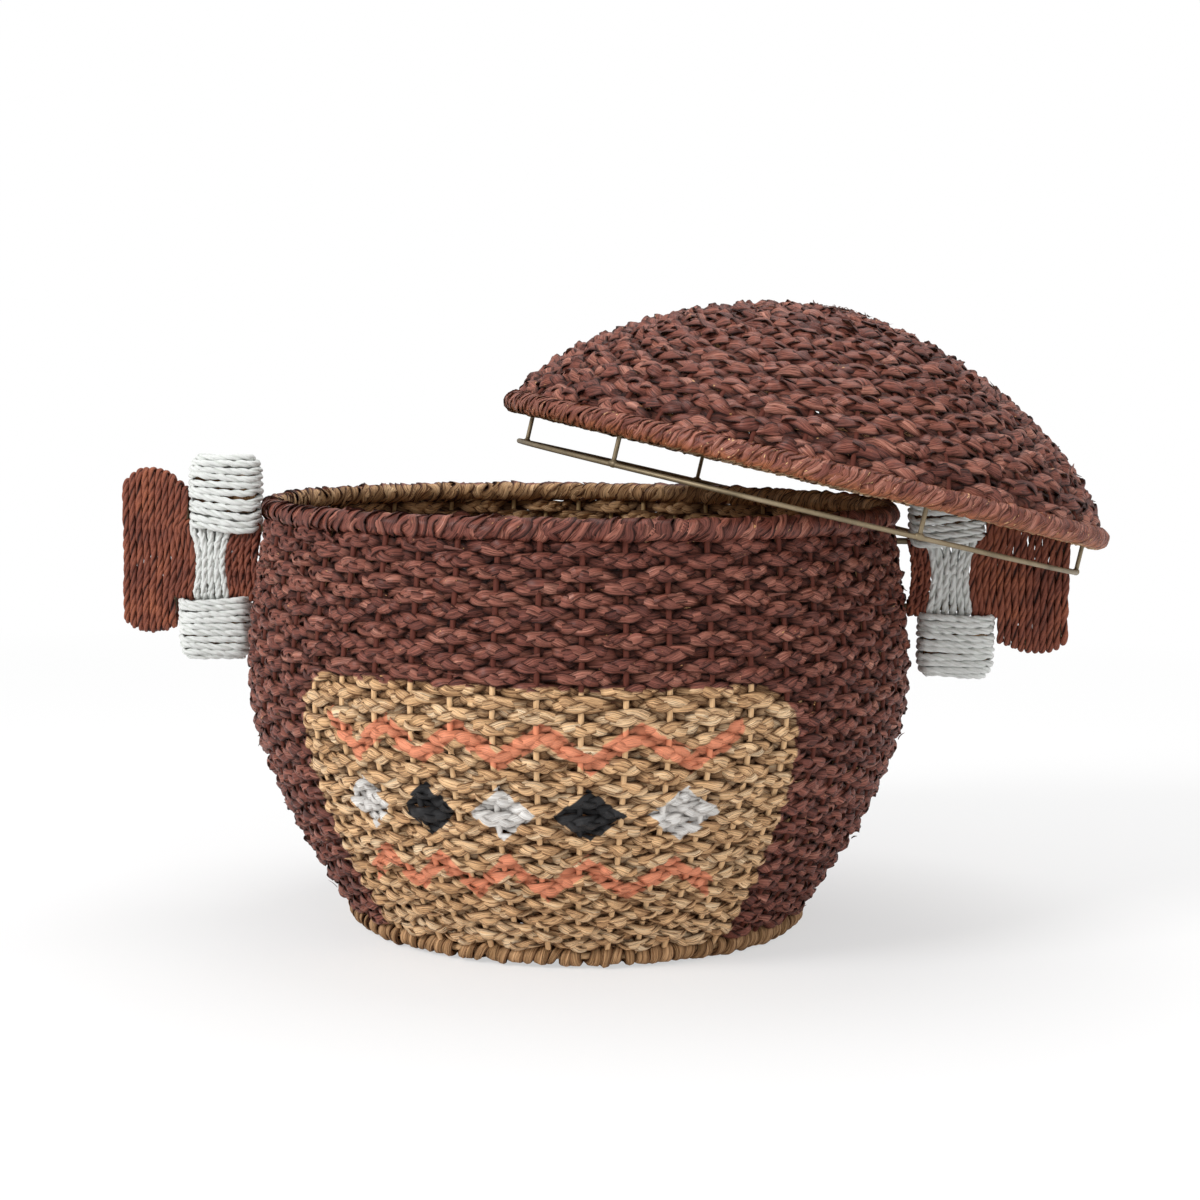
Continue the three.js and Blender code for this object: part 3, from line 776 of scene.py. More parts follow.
wireLooks = {
    "cloud": (60.0, 3.0, 0.7),
    "grains": (900.0, 2.0, 0.3),
    "colours": ((0.3, "#6f6350"), (0.5, "#8c7d63"), (0.75, "#a3937a")),
    "metallic": 0.55,
    "rough": (0.42, 0.16),
    "bump": (0.15, 0.0003),
    "gloss": 0.5,
}


def wireSurface(finish, looks):
    place = finish.place()
    *cloudy, cloudShare = looks["cloud"]
    *grainy, grainShare = looks["grains"]
    cloud = finish.noise(place, *cloudy)
    grains = finish.noise(place, *grainy)
    base = finish.ramp(cloud * cloudShare + grains * grainShare, *looks["colours"])
    return finish.grained(base, grains, looks)


finishes["wire"] = wireSurface(Finish("bareWire"), wireLooks)

brownCordLooks = {
    "colours": ((0.3, "#46251e"), (0.45, "#794132"), (0.58, "#95563f"), (0.74, "#cc7a49")),
    # grooveShade is painted shade between the plies
    "grooveShade": "#4c261c",
    "speck": "#c98a5a",
    "speckOver": 0.79,
    "fibres": (160.0, 1.6, 3.0, 3.0, 0.6),
    "strandShift": 30.0,
    "fibreShare": 0.55,
    "cloud": (55.0, 3.0),
    "cloudShare": 0.45,
    "crest": (0.1, 1.0),
    "specks": (420.0, 2.0),
    "speckSoftness": 0.02,
    "metallic": 0.0,
    "rough": (0.62, 0.2),
    "bump": (0.5, 0.0006),
    "gloss": 0.35,
}
paleCordLooks = {
    **brownCordLooks,
    "colours": ((0.3, "#cfd2cf"), (0.45, "#dcdedb"), (0.6, "#e6e8e5"), (0.8, "#eef0ed")),
    # The pale cord's painted groove shade is slight
    "grooveShade": "#eff1ee",
    "speck": "#4a4038",
    "speckOver": 0.8,
}


def cordSurface(finish, looks):
    along, across, out, _, chance, _ = leafCoordinates(finish)
    place = finish.place()
    shift = chance * looks["strandShift"]
    fibres = strandNoise(finish, (along, across, out), shift, looks["fibres"])
    cloud = finish.noise(place, *looks["cloud"])
    base = finish.ramp(fibres * looks["fibreShare"] + cloud * looks["cloudShare"], *looks["colours"])
    # Painted shade: each ply is darker towards its inner side, in the grooves between plies
    base = finish.times(base, finish.mix(out.over(*looks["crest"]), looks["grooveShade"], white))
    specks = finish.noise(place, *looks["specks"]).over(looks["speckOver"], looks["speckSoftness"])
    return finish.grained(finish.mix(specks, base, looks["speck"]), fibres, looks)


finishes["brownCord"] = cordSurface(Finish("brownCord"), brownCordLooks)
finishes["paleCord"] = cordSurface(Finish("paleCord"), paleCordLooks)
print("finishes made")


def show(work, name, body, finish, nodes, place=None):
    piece = work.make(name, finishes[finish], place)
    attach(piece, body)
    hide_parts(*nodes)


# Basket wall

basketLooks = {
    "knots": ((139.5, 6.73), (182, 78), (204, 152), (193, 259)),
    "stakes": 52,
    "stakeWidth": 3.4,
    "stakeThick": 3.2,
    "hoopWire": 4,
    "bindingRadius": 7,
    "rowsFromBinding": 3.0,
    "rowPitch": (6.6, 7.3),
    "rowsPerPiece": 5,
    "looseEnds": 22,
    "looseEndsOut": 5.2,
}
wallPlait = {
    "step": 2.0,
    "size": 9.9,
    "reach": 2.3,
    "stray": 0.6,
    "pinch": 0.82,
    "backFull": 1.0,
    "lay": 36.0,
    "leaf": 6.2,
    "thick": 1.75,
    "lift": 1.3,
    "turnOver": 0.45,
}


def lineThrough(knots, steps=40):
    knots = [np.array(knot, float) for knot in knots]
    last = len(knots) - 1
    line = []
    for i in range(last):
        start, end = knots[i], knots[i + 1]
        leave = (end - knots[max(i - 1, 0)]) / 2
        arrive = (knots[min(i + 2, last)] - start) / 2
        for t in np.linspace(0, 1, steps, endpoint=False):
            line.append(
                (2 * t**3 - 3 * t**2 + 1) * start + (t**3 - 2 * t**2 + t) * leave
                + (3 * t**2 - 2 * t**3) * end + (t**3 - t**2) * arrive
            )
    return [*line, knots[-1]]


wallProfile = Profile(lineThrough(basketLooks["knots"]))


def rowLevels(first, last, pitch):
    rows = max(1, round((last - first) / (sum(pitch) / 2)))
    share = np.linspace(0, 1, rows + 1)
    bend = (pitch[1] - pitch[0]) / (pitch[1] + pitch[0])
    return first + (last - first) * (share - bend * share * (1 - share))


# Rows of plait over a profile, a few to each piece, with loose ends on them
def weaveRows(name, body, finish, node, profile, levels, stakesAt, plait, looks, place=None):
    perPiece = looks["rowsPerPiece"]
    for number, start in enumerate(range(0, len(levels), perPiece)):
        work = Strands(seeds[name] + number, leafCrease)
        picked = levels[start:start + perPiece]
        for row, level in enumerate(picked, start):
            plaitRow(work, profile, level, stakesAt(profile, level), row * math.pi, plait)
        looseEnds(work, profile, looks["looseEnds"], (picked[0], picked[-1]), looks["looseEndsOut"])
        show(work, f"{name}_{number + 1}", body, finish, [node], place)
    print(name, "woven in", len(levels), "rows")


# How many stakes a row of the wall passes, at any level
def stakesAt(profile, level):
    return basketLooks["stakes"]


def weaveWall():
    inset = basketLooks["bindingRadius"] + basketLooks["rowsFromBinding"]
    levels = rowLevels(inset, wallProfile.length - inset, basketLooks["rowPitch"])
    looks = basketLooks
    weaveRows("wallPlaits", "basket", "wall", "woven_wall", wallProfile, levels, stakesAt, wallPlait, looks)


def addStakes():
    looks = basketLooks
    work = Strands(seeds["basketStakes"])
    ends = (wallProfile.length,) * 2
    stakeRods(work, wallProfile, looks["stakes"], ends, looks["stakeWidth"], looks["stakeThick"])
    for radius, height in (looks["knots"][0], looks["knots"][-1]):
        hoopRod(work, radius, height, looks["hoopWire"])
    show(work, "basketStakes", "basket", "stakes", ["basket_wire_frame"])


weaveWall()
addStakes()

rimLooks = {
    "tube": 5.7,
    "bulge": 0.07,
    "pitch": 6.4,
    "starts": 3,
    "stepsPerTurn": 28,
    "leaf": 9.2,
    "thick": 1.1,
    "tilt": 0.13,
    "stray": 2.4,
    "rock": 0.24,
    "paintUp": 0.0,
}
baseRimLooks = {
    "tube": 4.2,
    "bulge": 0.12,
    "pitch": 7.2,
    "starts": 1,
    "stepsPerTurn": 24,
    "leaf": 7.6,
    "thick": 3.0,
    "tilt": 0.16,
    "stray": 2.2,
    "rock": 0.34,
    "paintUp": 0.0,
}


def wrapHoop(name, body, hoopAt, looks, finish, node, place=None):
    work = Strands(seeds[name], leafCrease)
    whipHoop(work, *hoopAt, looks)
    show(work, name, body, finish, [node], place)


rimAt, footAt = basketLooks["knots"][-1], basketLooks["knots"][0]
wrapHoop("rimWrap", "basket", rimAt, rimLooks, "rim", "rim_binding")
wrapHoop("baseWrap", "basket", footAt, baseRimLooks, "natural", "base_binding")

# Basket floor

floorLooks = {
    "radius": 133.5,
    "level": 5.0,
    "spokes": 24,
    "innerSpokes": 12,
    "change": 72,
    "firstRow": 2.0,
    "pitch": 7.2,
    "eyeRadius": 5,
    "lineTo": 2,
    "lineSteps": 60,
    "shortSpokeLap": 6,
    "longSpokeTo": 12,
    "spokeWidth": 3.0,
    "spokeThick": 2.4,
}
floorPlait = {**wallPlait, "size": 9.6, "reach": 2.0, "stray": 0.4, "pinch": 0.75, "thick": 1.8, "lift": 0.7}


def weaveFloor():
    looks = floorLooks
    radius, change = looks["radius"], looks["change"]
    inwards = np.linspace(0, radius - looks["lineTo"], looks["lineSteps"])
    profile = Profile([(radius - k, looks["level"]) for k in inwards])
    work = Strands(seeds["floorPlaits"], leafCrease)
    at = looks["firstRow"]
    row = 0
    while radius - at > looks["eyeRadius"]:
        spokes = looks["spokes"] if radius - at > change else looks["innerSpokes"]
        plaitRow(work, profile, at, spokes, row * math.pi, floorPlait)
        at += looks["pitch"]
        row += 1
    ends = radius - looks["longSpokeTo"], radius - change + looks["shortSpokeLap"]
    stakeRods(work, profile, looks["spokes"], ends, looks["spokeWidth"], looks["spokeThick"])
    show(work, "floorPlaits", "basket", "natural", ["woven_base"])


weaveFloor()
print("bindings and floor made")

# Lid

lidLooks = {
    "curve": ((187.5, 0), (166, 50), (70, 99), (0, 99)),
    "ribs": 40,
    "longRibs": 20,
    "shortRibTo": 96,
    "shortRibLap": 4,
    "fewRibs": 10,
    "fewWithin": 44,
    "ribWidth": 3.0,
    "ribThick": 2.8,
    "crownHoop": 28,
    "hoopWire": 4,
    "bindingRadius": 6.5,
    "rowsFromBinding": 3.4,
    "rowsFromCrown": 5.5,
    "rowPitch": (8.4, 8.4),
    "rowsPerPiece": 8,
    "looseEnds": 26,
    "looseEndsOut": 5.0,
}
ringLooks = {
    "radius": 179.3,
    "drop": 23.5,
    "wire": 3.0,
    "sides": 12,
    "segments": 240,
    "posts": 6,
    "firstPost": -5.5,
    "postDiameter": 2.8,
    "postSides": 10,
    "postSteps": 9,
    "postFoot": 0.4,
    "postHeadOut": 3,
    "postHeadSink": 2.6,
    "weldRadius": 2.3,
    "weldHalfLength": 3.4,
    "weldUp": 0.5,
    "weldRound": 1.02,
}
lidPlait = {
    **wallPlait,
    "size": 12.8,
    "reach": 2.1,
    "stray": 0.7,
    "pinch": 0.86,
    "backFull": 0.9,
    "leaf": 8.0,
    "thick": 2.0,
    "lay": 43.0,
}
lidRimLooks = {
    "tube": 5.9,
    "bulge": 0.05,
    "pitch": 4.6,
    "starts": 5,
    "stepsPerTurn": 20,
    "leaf": 6.6,
    "thick": 1.1,
    "tilt": 0.14,
    "stray": 1.6,
    "rock": 0.2,
    "paintUp": 0.5,
}


# Where the lid lies, read from its ring and its first post
def lidPlace():
    ring = np.array([v.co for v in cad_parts["locating_ring"].data.vertices])
    post = np.array([v.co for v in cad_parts["ring_post_1"].data.vertices])
    centre = ring.mean(0)
    up = np.linalg.svd(ring - centre)[2][2]
    up = up if up[2] > 0 else -up
    towards = post.mean(0) - centre
    towards = unit(towards - up * towards.dot(up))
    beside = np.cross(up, towards)
    angle = math.radians(ringLooks["firstPost"])
    x = towards * math.cos(angle) - beside * math.sin(angle)
    y = np.cross(up, x)
    hoop = centre + up * ringLooks["drop"] * mm
    columns = np.stack([x, y, up, hoop], 1)
    return Matrix([*columns.tolist(), [0, 0, 0, 1]])


def bezierLine(knots, steps=80):
    a, b, c, d = (np.array(knot, float) for knot in knots)
    share = np.linspace(0, 1, steps)[:, None]
    rest = 1 - share
    return rest**3 * a + 3 * rest**2 * share * b + 3 * rest * share**2 * c + share**3 * d


lidAt = lidPlace()
domeProfile = Profile(bezierLine(lidLooks["curve"]))


def levelWhere(profile, radius):
    return np.interp(-radius, -profile.points[:, 0], profile.along)


# How many ribs a row of the dome passes, which is fewer near the crown
def ribsAt(profile, level):
    (radius, _), _ = profile.read(level)
    if radius > lidLooks["shortRibTo"]:
        return lidLooks["ribs"]
    return lidLooks["longRibs"] if radius > lidLooks["fewWithin"] else lidLooks["fewRibs"]


def weaveLid():
    first = lidLooks["bindingRadius"] + lidLooks["rowsFromBinding"]
    levels = rowLevels(first, domeProfile.length - lidLooks["rowsFromCrown"], lidLooks["rowPitch"])
    weaveRows("lidPlaits", "lid", "lid", "lid_dome", domeProfile, levels, ribsAt, lidPlait, lidLooks, lidAt)


def addLidWires():
    looks = lidLooks
    work = Strands(seeds["lidRibs"])
    longEnd = levelWhere(domeProfile, looks["crownHoop"])
    shortEnd = levelWhere(domeProfile, looks["shortRibTo"] - looks["shortRibLap"])
    stakeRods(work, domeProfile, looks["ribs"], (longEnd, shortEnd), looks["ribWidth"], looks["ribThick"])
    hoopRod(work, looks["curve"][0][0], 0, looks["hoopWire"])
    (_, crownHeight), _ = domeProfile.read(longEnd)
    hoopRod(work, looks["crownHoop"], crownHeight, looks["ribWidth"])
    show(work, "lidRibs", "lid", "stakes", ["lid_wire_frame"], lidAt)


# The way out from the lid's axis to each post
def postsOutward():
    for i in range(ringLooks["posts"]):
        turn = math.radians(ringLooks["firstPost"]) + i * fullTurn / ringLooks["posts"]
        yield np.array([math.cos(turn), math.sin(turn), 0])


# A straight rod of round section, thicker or thinner by a swell along it
def addRod(work, place, outward, radius, sides, swell=1.0):
    section = roundSection(radius, sides) * swell
    work.sweep(place, np.tile(outward, (len(place), 1)), section, closed=False)


def addLocatingRing():
    looks = ringLooks
    radius, drop = looks["radius"], looks["drop"]
    work = Strands(seeds["locatingRing"])
    hoopRod(work, radius, -drop, looks["wire"], looks["sides"], looks["segments"])
    share = np.linspace(-1, 1, looks["postSteps"])
    swell = np.sqrt(looks["weldRound"] - share**2)[:, None, None]
    for outward in postsOutward():
        along = np.array([-outward[1], outward[0], 0])
        weld = along * share[:, None] * looks["weldHalfLength"]
        place = outward * radius + weld + np.array([0, 0, looks["weldUp"] - drop])
        addRod(work, place, outward, looks["weldRadius"], looks["sides"], swell)
    show(work, "locatingRing", "lid", "wire", ["locating_ring"], lidAt)


def addRingPosts():
    looks = ringLooks
    radius = looks["radius"]
    headLevel = levelWhere(domeProfile, radius + looks["postHeadOut"])
    (_, head), _ = domeProfile.read(headLevel, -looks["postHeadSink"])
    foot = -looks["drop"] + looks["postFoot"]
    heights = foot + np.linspace(0, 1, looks["postSteps"]) * (head - foot)
    for number, outward in enumerate(postsOutward()):
        work = Strands(seeds["ringPosts"] + number)
        place = outward * radius + np.array([0, 0, 1]) * heights[:, None]
        addRod(work, place, outward, looks["postDiameter"] / 2, looks["postSides"])
        show(work, f"ringPost_{number + 1}", "lid", "wire", [f"ring_post_{number + 1}"], lidAt)


weaveLid()
addLidWires()
lidHoopAt = lidLooks["curve"][0]
wrapHoop("lidWrap", "lid", lidHoopAt, lidRimLooks, "lidRim", "lid_binding", lidAt)
addLocatingRing()
addRingPosts()
print("lid made")

# Handles, with the same turns as the CAD solids

# A panel's edge is its height where it starts, where it is highest or lowest, and where it ends
handleLooks = {
    "cord": 3.8,
    "turnGap": 0.5,
    "wire": 4.0,
    "wireSides": 10,
    "wireEnds": (193.5, 203.2),
    "wireStep": 2.0,
    "seatGap": 0.3,
    "firstTurn": 208.4,
    "legTop": 242,
    "legBottom": 201,
    "topEdge": (260, 274.5, 262.5),
    "bottomEdge": (186, 179.5, 188),
    "crestInsets": (24, 9),
    "crestReach": 5,
    "bend": math.tan(math.radians(22.5)),
    "endShare": 0.12,
    "waistMiddle": 221.5,
    "waistHalfHeight": 20,
    "drawIn": 0.11,
    "drawInReach": 34,
    "fanOutTop": 0.55,
    "fanOutBottom": 0.18,
    "fanOutReach": 15,
    "fanOutTo": 1.5,
    "fanOutFade": 0.4,
}
knobLooks = {
    "width": 48,
    "depth": 21.8,
    "corner": 5.3,
    "leastCorner": 1.2,
    "cornerShare": 0.4,
    "endInsets": (0.4, 1.6),
    "cap": ((2.9, 4.4), (1.2, 7.9)),
    "seat": (4.3, 7.9),
    "lap": 3.8,
    "stray": 0.45,
    "tilt": 3.4,
    "sideLean": 0.3,
    "coreGap": 0.4,
    "coreRings": 7,
    "seed": 9,
    "top": {
        "centre": 229.3,
        "turns": 9,
        "sag": 10.5,
        "slackPower": 1.4,
        "coreInsets": (4.4, 6.4),
        "seed": 5,
    },
    "bottom": {
        "centre": 236.5,
        "turns": 8,
        "sag": 6.0,
        "slackPower": 2,
        "coreInsets": (6.4, 9.4),
        "seed": 7,
    },
}
cordLooks = {
    "lay": 23.0,
    "plyCount": 3,
    "plies": (0.46, 0.61),
    "plySides": 8,
    "step": 1.0,
    "stray": (0.26, 0.25, 0.2),
    "strayWaves": (20, 160),
    "twist": (0.6, (5, 60)),
    "thick": (0.16, (20, 200)),
}
handles = (
    {"name": "left", "side": -1, "inner": 5, "waist": 5, "panel": 11},
    {"name": "right", "side": 1, "inner": 3, "waist": 6, "panel": 14},
)
turnPitch = handleLooks["cord"] + handleLooks["turnGap"]
wrapOffset = handleLooks["wire"] / 2 + handleLooks["seatGap"] + handleLooks["cord"] / 2


def planHandle(spec):
    looks = handleLooks
    turns = spec["inner"] + spec["waist"] + spec["panel"]
    radii = looks["firstTurn"] + turnPitch * np.arange(turns)
    clear = knobLooks["width"] / 2 + looks["seatGap"] + max(looks["wire"], looks["cord"]) / 2
    end = radii[-1]
    near, far = (end - inset for inset in looks["crestInsets"])
    edges = []
    for knob, leg, (start, crest, last) in (
        (knobLooks["top"], looks["legTop"], looks["topEdge"]),
        (knobLooks["bottom"], looks["legBottom"], looks["bottomEdge"]),
    ):
        riser = radii[radii >= knob["centre"] + clear][0]
        inner = [(radii[0], leg), (riser, leg), (riser, start)]
        edges.append([*inner, (near, crest), (far, crest), (end, last)])
    return radii, edges


# The wire's height at a radius, and how far off it the cord's middle runs
def crossing(edge, radius):
    if radius < edge[1][0]:
        return edge[0][1], wrapOffset
    run = np.array(edge[2:])
    reach = handleLooks["crestReach"]
    before, at, after = np.interp((radius - reach, radius, radius + reach), run[:, 0], run[:, 1])
    span = min(run[-1, 0], radius + reach) - max(run[0, 0], radius - reach)
    return (before + 2 * at + after) / 4, wrapOffset * math.hypot(span, after - before) / span


def panelPoints(radii, edges, side, start, count):
    looks = handleLooks
    bend = looks["bend"]
    inner = bend * wrapOffset
    slantTop = looks["legTop"] + inner
    slantBottom = looks["legBottom"] - inner

    def slant(radius, share):
        return side * (radius + turnPitch * share), wrapOffset, slantTop + (slantBottom - slantTop) * share

    points = [slant(radii[start] - turnPitch, 1 - looks["endShare"])]
    for radius in radii[start:start + count]:
        low, lowReach = crossing(edges[1], radius)
        high, highReach = crossing(edges[0], radius)
        lowBend, highBend = low - bend * lowReach, high + bend * highReach
        turn = [(wrapOffset, slantBottom)]
        if low < looks["legBottom"]:
            turn.append((wrapOffset, lowBend))
        turn += [(inner, low - lowReach), (-inner, low - lowReach), (-wrapOffset, lowBend)]
        turn += [(-wrapOffset, highBend), (-inner, high + highReach), (inner, high + highReach)]
        if high > looks["legTop"]:
            turn.append((wrapOffset, highBend))
        turn.append((wrapOffset, slantTop))
        points += [(side * radius, y, z) for y, z in turn]
    points.append(slant(radii[start + count - 1], looks["endShare"]))
    return np.array(points)


# Cords are drawn in half-way down the waist, and fan out where the knobs press on them
def drawIn(path, side, middle):
    looks = handleLooks
    off = side * path[:, 0] - middle
    up = path[:, 2] - looks["waistMiddle"]
    rise = np.abs(up) / looks["waistHalfHeight"]
    ends = np.clip(rise, 0, 1) ** 2
    inward = looks["drawIn"] * (1 - ends) * np.exp(-((off / looks["drawInReach"]) ** 2))
    nearKnob = ends * np.clip((looks["fanOutTo"] - rise) / looks["fanOutFade"], 0, 1)
    fanOut = np.where(up > 0, looks["fanOutTop"], looks["fanOutBottom"])
    outward = fanOut * nearKnob * np.exp(-((off / looks["fanOutReach"]) ** 2))
    path[:, 0] += side * off * (outward - inward)
    return path


def knobRing(inset, corner):
    radius = handleLooks["cord"] / 2
    across = knobLooks["width"] / 2 - radius - inset
    deep = knobLooks["depth"] / 2 - radius - inset
    shortAcross, shortDeep = across - corner, deep - corner
    return [
        (-shortAcross, deep), (-across, shortDeep), (-across, -shortDeep), (-shortAcross, -deep),
        (shortAcross, -deep), (across, -shortDeep), (across, shortDeep), (shortAcross, deep),
    ]


# The turns up a knob as pairs of a level and how far in each lies, with the flat coils that close its ends
def knobRings(low, end):
    looks = knobLooks
    upward = end == "top"
    turns = looks[end]["turns"]
    rings = [(low + i * turnPitch, 0.0) for i in range(turns)]
    insets = looks["endInsets"] if upward else looks["endInsets"][::-1]
    first = turns - len(insets) if upward else 0
    for i, inset in enumerate(insets, first):
        rings[i] = (rings[i][0], inset)
    high = rings[-1][0]
    seat, cap = looks["seat"], looks["cap"]
    if upward:
        foot = [*((low, inset) for inset in seat[::-1]), (low - looks["lap"], 0.0)]
        return [*foot, *rings, *((high + rise, inset) for rise, inset in cap)]
    head = [(high + looks["lap"], 0.0), *((high, inset) for inset in seat)]
    return [*((low - rise, inset) for rise, inset in cap[::-1]), *rings, *head]


# Turns near the waist hang lower, above it on the wall's side and below it on the panel's side, and each
# turn tilts by chance
def knobPoints(random, side, low, end):
    looks, knob = knobLooks, knobLooks[end]
    upward = end == "top"
    rings = knobRings(low, end)
    points = []
    for i, (level, inset) in enumerate(rings):
        corner = max(looks["corner"] - looks["cornerShare"] * inset, looks["leastCorner"])
        share = i / len(rings)
        slack = (1 - share if upward else share) ** knob["slackPower"]
        sag = slack * knob["sag"]
        tilt = random.uniform(-1, 1) * looks["tilt"] * (0.5 + slack)
        for x, y in knobRing(inset, corner):
            outwards = side * x / looks["width"]
            lean = sag * (0.5 - outwards if upward else 0.5 + outwards)
            drop = lean if abs(y) > looks["depth"] / 3 else looks["sideLean"] * lean
            drop += tilt * x * np.sign(y) / looks["width"] + random.uniform(-1, 1) * looks["stray"]
            points.append((side * knob["centre"] + x, y, level - drop))
    return np.array(points)


# Cuts a quarter off both sides of each corner, as often as asked, then sets points at even steps
def smoothPath(points, step, rounds=2):
    points = np.asarray(points, float)
    for _ in range(rounds):
        ahead = points[:-1] * 0.75 + points[1:] * 0.25
        back = points[:-1] * 0.25 + points[1:] * 0.75
        middle = np.stack([ahead, back], 1).reshape(-1, 3)
        points = np.concatenate([points[:1], middle, points[-1:]])
    run = np.concatenate([[0], np.cumsum(np.linalg.norm(np.diff(points, axis=0), axis=1))])
    even = np.linspace(0, run[-1], max(4, int(run[-1] / step)))
    return np.stack([np.interp(even, run, points[:, k]) for k in range(3)], 1), even


def twistedCord(work, path, run, radius):
    looks = cordLooks
    random = work.random
    offset, plyRadius = (share * radius for share in looks["plies"])
    share = run / run[-1] * fullTurn
    for k, stray in enumerate(looks["stray"]):
        path[:, k] += wander(share, random, stray, looks["strayWaves"])
    ahead = unit(np.gradient(path, axis=0))
    across = np.empty_like(path)
    start = np.cross((0.0, 1.0, 0.0), ahead[0])
    across[0] = unit(start if np.linalg.norm(start) > 0.1 else np.cross((1.0, 0.0, 0.0), ahead[0]))
    for i in range(1, len(path)):
        kept = across[i - 1] - ahead[i] * across[i - 1].dot(ahead[i])
        across[i] = kept / np.linalg.norm(kept)
    beside = np.cross(ahead, across)
    for ply in range(looks["plyCount"]):
        start = ply * fullTurn / looks["plyCount"]
        twist = start + run / looks["lay"] * fullTurn + wander(share, random, *looks["twist"])
        out = across * np.cos(twist)[:, None] + beside * np.sin(twist)[:, None]
        thick = plyRadius * (1 + wander(share, random, *looks["thick"]))
        section = roundSection(1.0, looks["plySides"]) * thick[:, None, None]
        work.sweep(path + out * offset, out, section, closed=False)


def addWinding(name, node, points, finish, seed, waist=None):
    path, run = smoothPath(points, cordLooks["step"])
    if waist is not None:
        path = drawIn(path, *waist)
    work = Strands(seed)
    twistedCord(work, path, run, turnPitch / 2)
    show(work, name, "basket", finish, [node])


def addHandleWire(name, side, edges, seed):
    looks = handleLooks
    top, bottom = edges
    topEnd, bottomEnd = looks["wireEnds"]
    outline = [(topEnd, looks["legTop"]), *top[1:], *bottom[1:][::-1], (bottomEnd, looks["legBottom"])]
    route = [(side * radius, 0, height) for radius, height in outline]
    path, _ = smoothPath(route, looks["wireStep"], 1)
    work = Strands(seed)
    addRod(work, path, (0.0, 1.0, 0.0), looks["wire"] / 2, looks["wireSides"])
    show(work, f"{name}HandleWire", "basket", "wire", [f"{name}_handle_frame"])


def addKnobCore(name, node, end, side, low, high, seed):
    centre = side * knobLooks[end]["centre"]
    lowInset, highInset = knobLooks[end]["coreInsets"]
    levels = np.linspace(low + lowInset, high - highInset, knobLooks["coreRings"])
    path = np.stack([0 * levels + centre, 0 * levels, levels], 1)
    inset = handleLooks["cord"] / 2 + knobLooks["coreGap"]
    section = np.array(knobRing(inset, knobLooks["corner"]))
    work = Strands(seed)
    work.sweep(path, np.tile((0.0, 1.0, 0.0), (len(path), 1)), section, closed=False)
    show(work, name, "basket", "natural", [node])


# Where a knob's turns start and end, clear of the waist's turns below or above them
def knobLevels(end):
    looks = handleLooks
    turns = knobLooks[end]["turns"] * turnPitch
    thickness = wrapOffset + looks["cord"] / 2
    if end == "top":
        low = looks["legTop"] + thickness + looks["seatGap"]
        return low, low + turns - looks["turnGap"]
    high = looks["legBottom"] - thickness - looks["seatGap"]
    return high - (turns - looks["turnGap"]), high


def addHandle(spec):
    name, side = spec["name"], spec["side"]
    seed = seeds[f"{name}Handle"]
    radii, edges = planHandle(spec)
    addHandleWire(name, side, edges, seed)
    middle = radii[spec["inner"]:spec["inner"] + spec["waist"]].mean()
    start = 0
    for number, (part, finish, slotName) in enumerate((
        ("inner", "brownCord", "brown_cord"),
        ("waist", "paleCord", "pale_cord"),
        ("panel", "brownCord", "brown_cord"),
    ), 1):
        winding, node = f"{name}{part.title()}Winding", f"{name}_{part}_wrap"
        points = panelPoints(radii, edges, side, start, spec[part])
        addWinding(winding, node, points, finish, seed + number, (side, middle))
        start += spec[part]
    random = np.random.default_rng(seed + knobLooks["seed"])
    for end in ("top", "bottom"):
        number = knobLooks[end]["seed"]
        low, high = knobLevels(end)
        knob, node = f"{name}{end.title()}Knob", f"{name}_{end}_knob"
        points = knobPoints(random, side, low + handleLooks["cord"] / 2, end)
        addWinding(f"{knob}Winding", f"{node}_wrap", points, "paleCord", seed + number)
        addKnobCore(f"{knob}Core", f"{node}_core", end, side, low, high, seed + number + 1)


for spec in handles:
    addHandle(spec)
print("handles wound")

# Floor, light and background

studio = {
    "floorSize": 12,
    "floorLevel": -0.0004,
    "floorTone": 0.9,
    "fadeFrom": 0.75,
    "fadeOver": 0.9,
    "leastFade": 0.55,
    "ambient": 0.55,
    "aim": (0.05, 0, 0.17),
    "lamps": (
        {"name": "keyLamp", "place": (-1.9, -1.9, 1.9), "size": 1.0, "power": 59},
        {"name": "fillLamp", "place": (2.2, -1.6, 1.2), "size": 2.0, "power": 13},
        {"name": "topLamp", "place": (0.5, 0.8, 2.6), "size": 1.8, "power": 29},
    ),
}


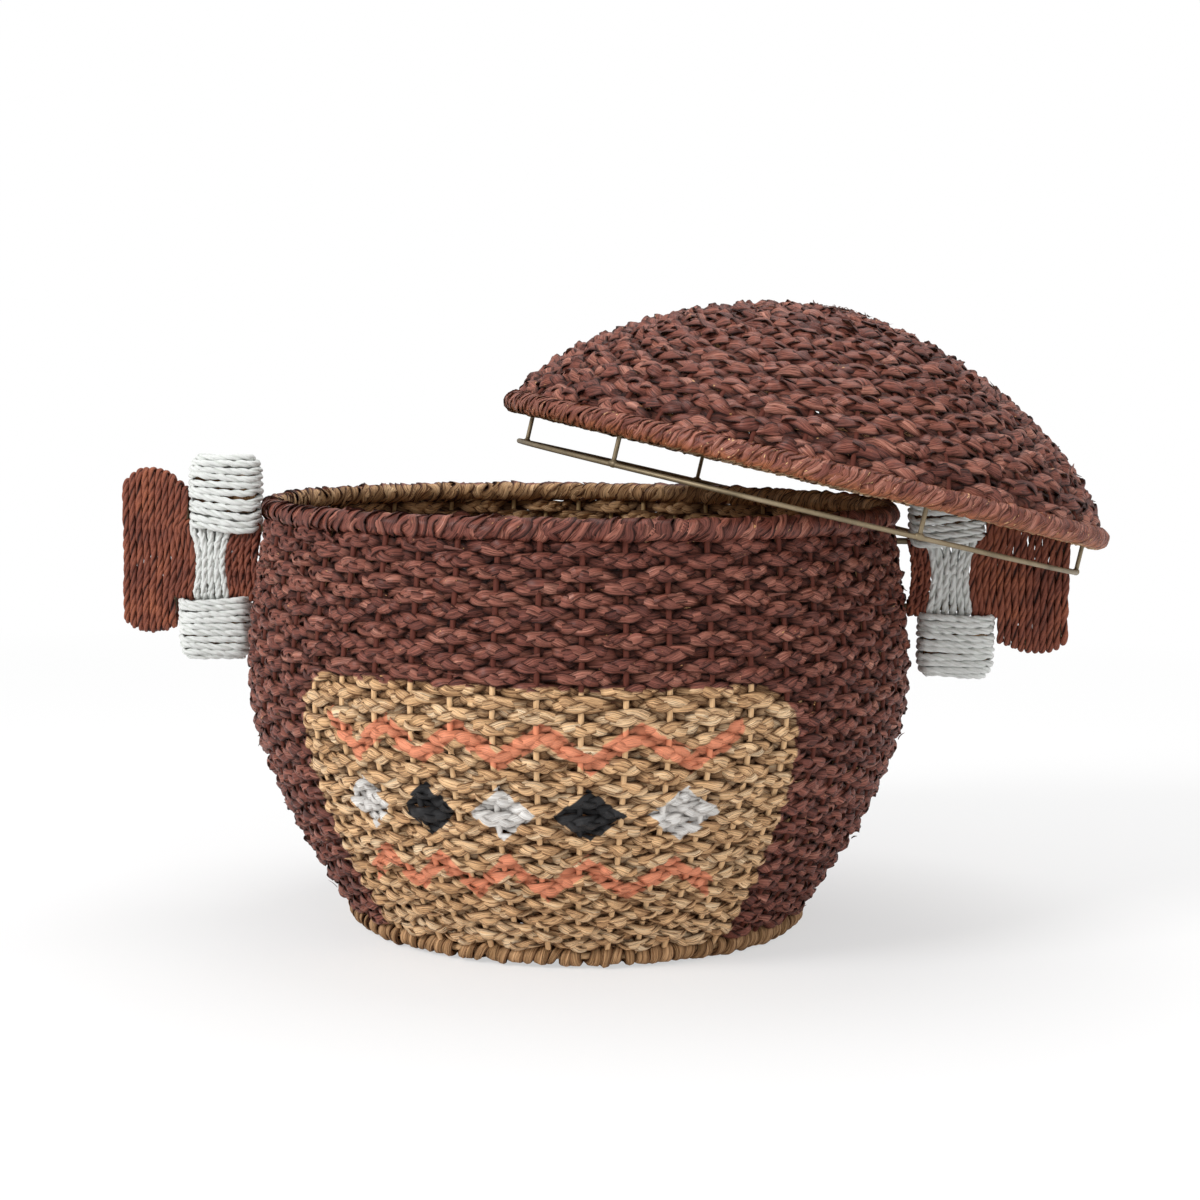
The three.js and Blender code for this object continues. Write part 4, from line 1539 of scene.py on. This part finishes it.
# In the camera's own view the floor is partly white near the basket, and wholly white far from it
def addStudioFloor():
    bpy.ops.mesh.primitive_grid_add(x_subdivisions=2, y_subdivisions=2, size=studio["floorSize"])
    floor = bpy.context.object
    floor.name = "studioFloor"
    floor.location.z = studio["floorLevel"]
    finish = Finish("studioFloor")
    x, y, _ = finish.split(finish.place())
    distance = finish.maths("SQRT", x * x + y * y)
    fade = finish.node("ShaderNodeClamp", {}, {0: (distance - studio["fadeFrom"]) / studio["fadeOver"]})
    seen = finish.node("ShaderNodeLightPath", output="Is Camera Ray")
    tone = (studio["floorTone"],) * 3 + (1,)
    lit = finish.node("ShaderNodeBsdfDiffuse", {}, {"Color": tone})
    plain = finish.node("ShaderNodeEmission", {}, {"Color": (1, 1, 1, 1), "Strength": 1.0})
    least = studio["leastFade"]
    share = seen * (fade * (1 - least) + least)
    mixed = finish.node("ShaderNodeMixShader", {}, {0: share, 1: lit, 2: plain})
    finish.node("ShaderNodeOutputMaterial", {}, {"Surface": mixed})
    floor.data.materials.append(finish.material)


def addSky():
    world = bpy.data.worlds.new("studio")
    world.use_nodes = True
    sky = Finish("studio", world.node_tree)
    seen = sky.node("ShaderNodeLightPath", output="Is Camera Ray")
    ambient = sky.node("ShaderNodeBackground", {}, {"Color": (1, 1, 1, 1), "Strength": studio["ambient"]})
    plain = sky.node("ShaderNodeBackground", {}, {"Color": (1, 1, 1, 1), "Strength": 1.0})
    both = sky.node("ShaderNodeMixShader", {}, {0: seen, 1: ambient, 2: plain})
    sky.node("ShaderNodeOutputWorld", {}, {"Surface": both})
    bpy.context.scene.world = world


def addLamps():
    target = Vector(studio["aim"])
    for lamp in studio["lamps"]:
        data = bpy.data.lights.new(lamp["name"], "AREA")
        data.energy = lamp["power"]
        data.size = lamp["size"]
        made = bpy.data.objects.new(lamp["name"], data)
        made.location = lamp["place"]
        made.rotation_euler = (target - made.location).to_track_quat("-Z", "Y").to_euler()
        bpy.context.scene.collection.objects.link(made)


addStudioFloor()
addSky()
addLamps()
bpy.context.scene.view_settings.view_transform = "Standard"
print("studio lit")
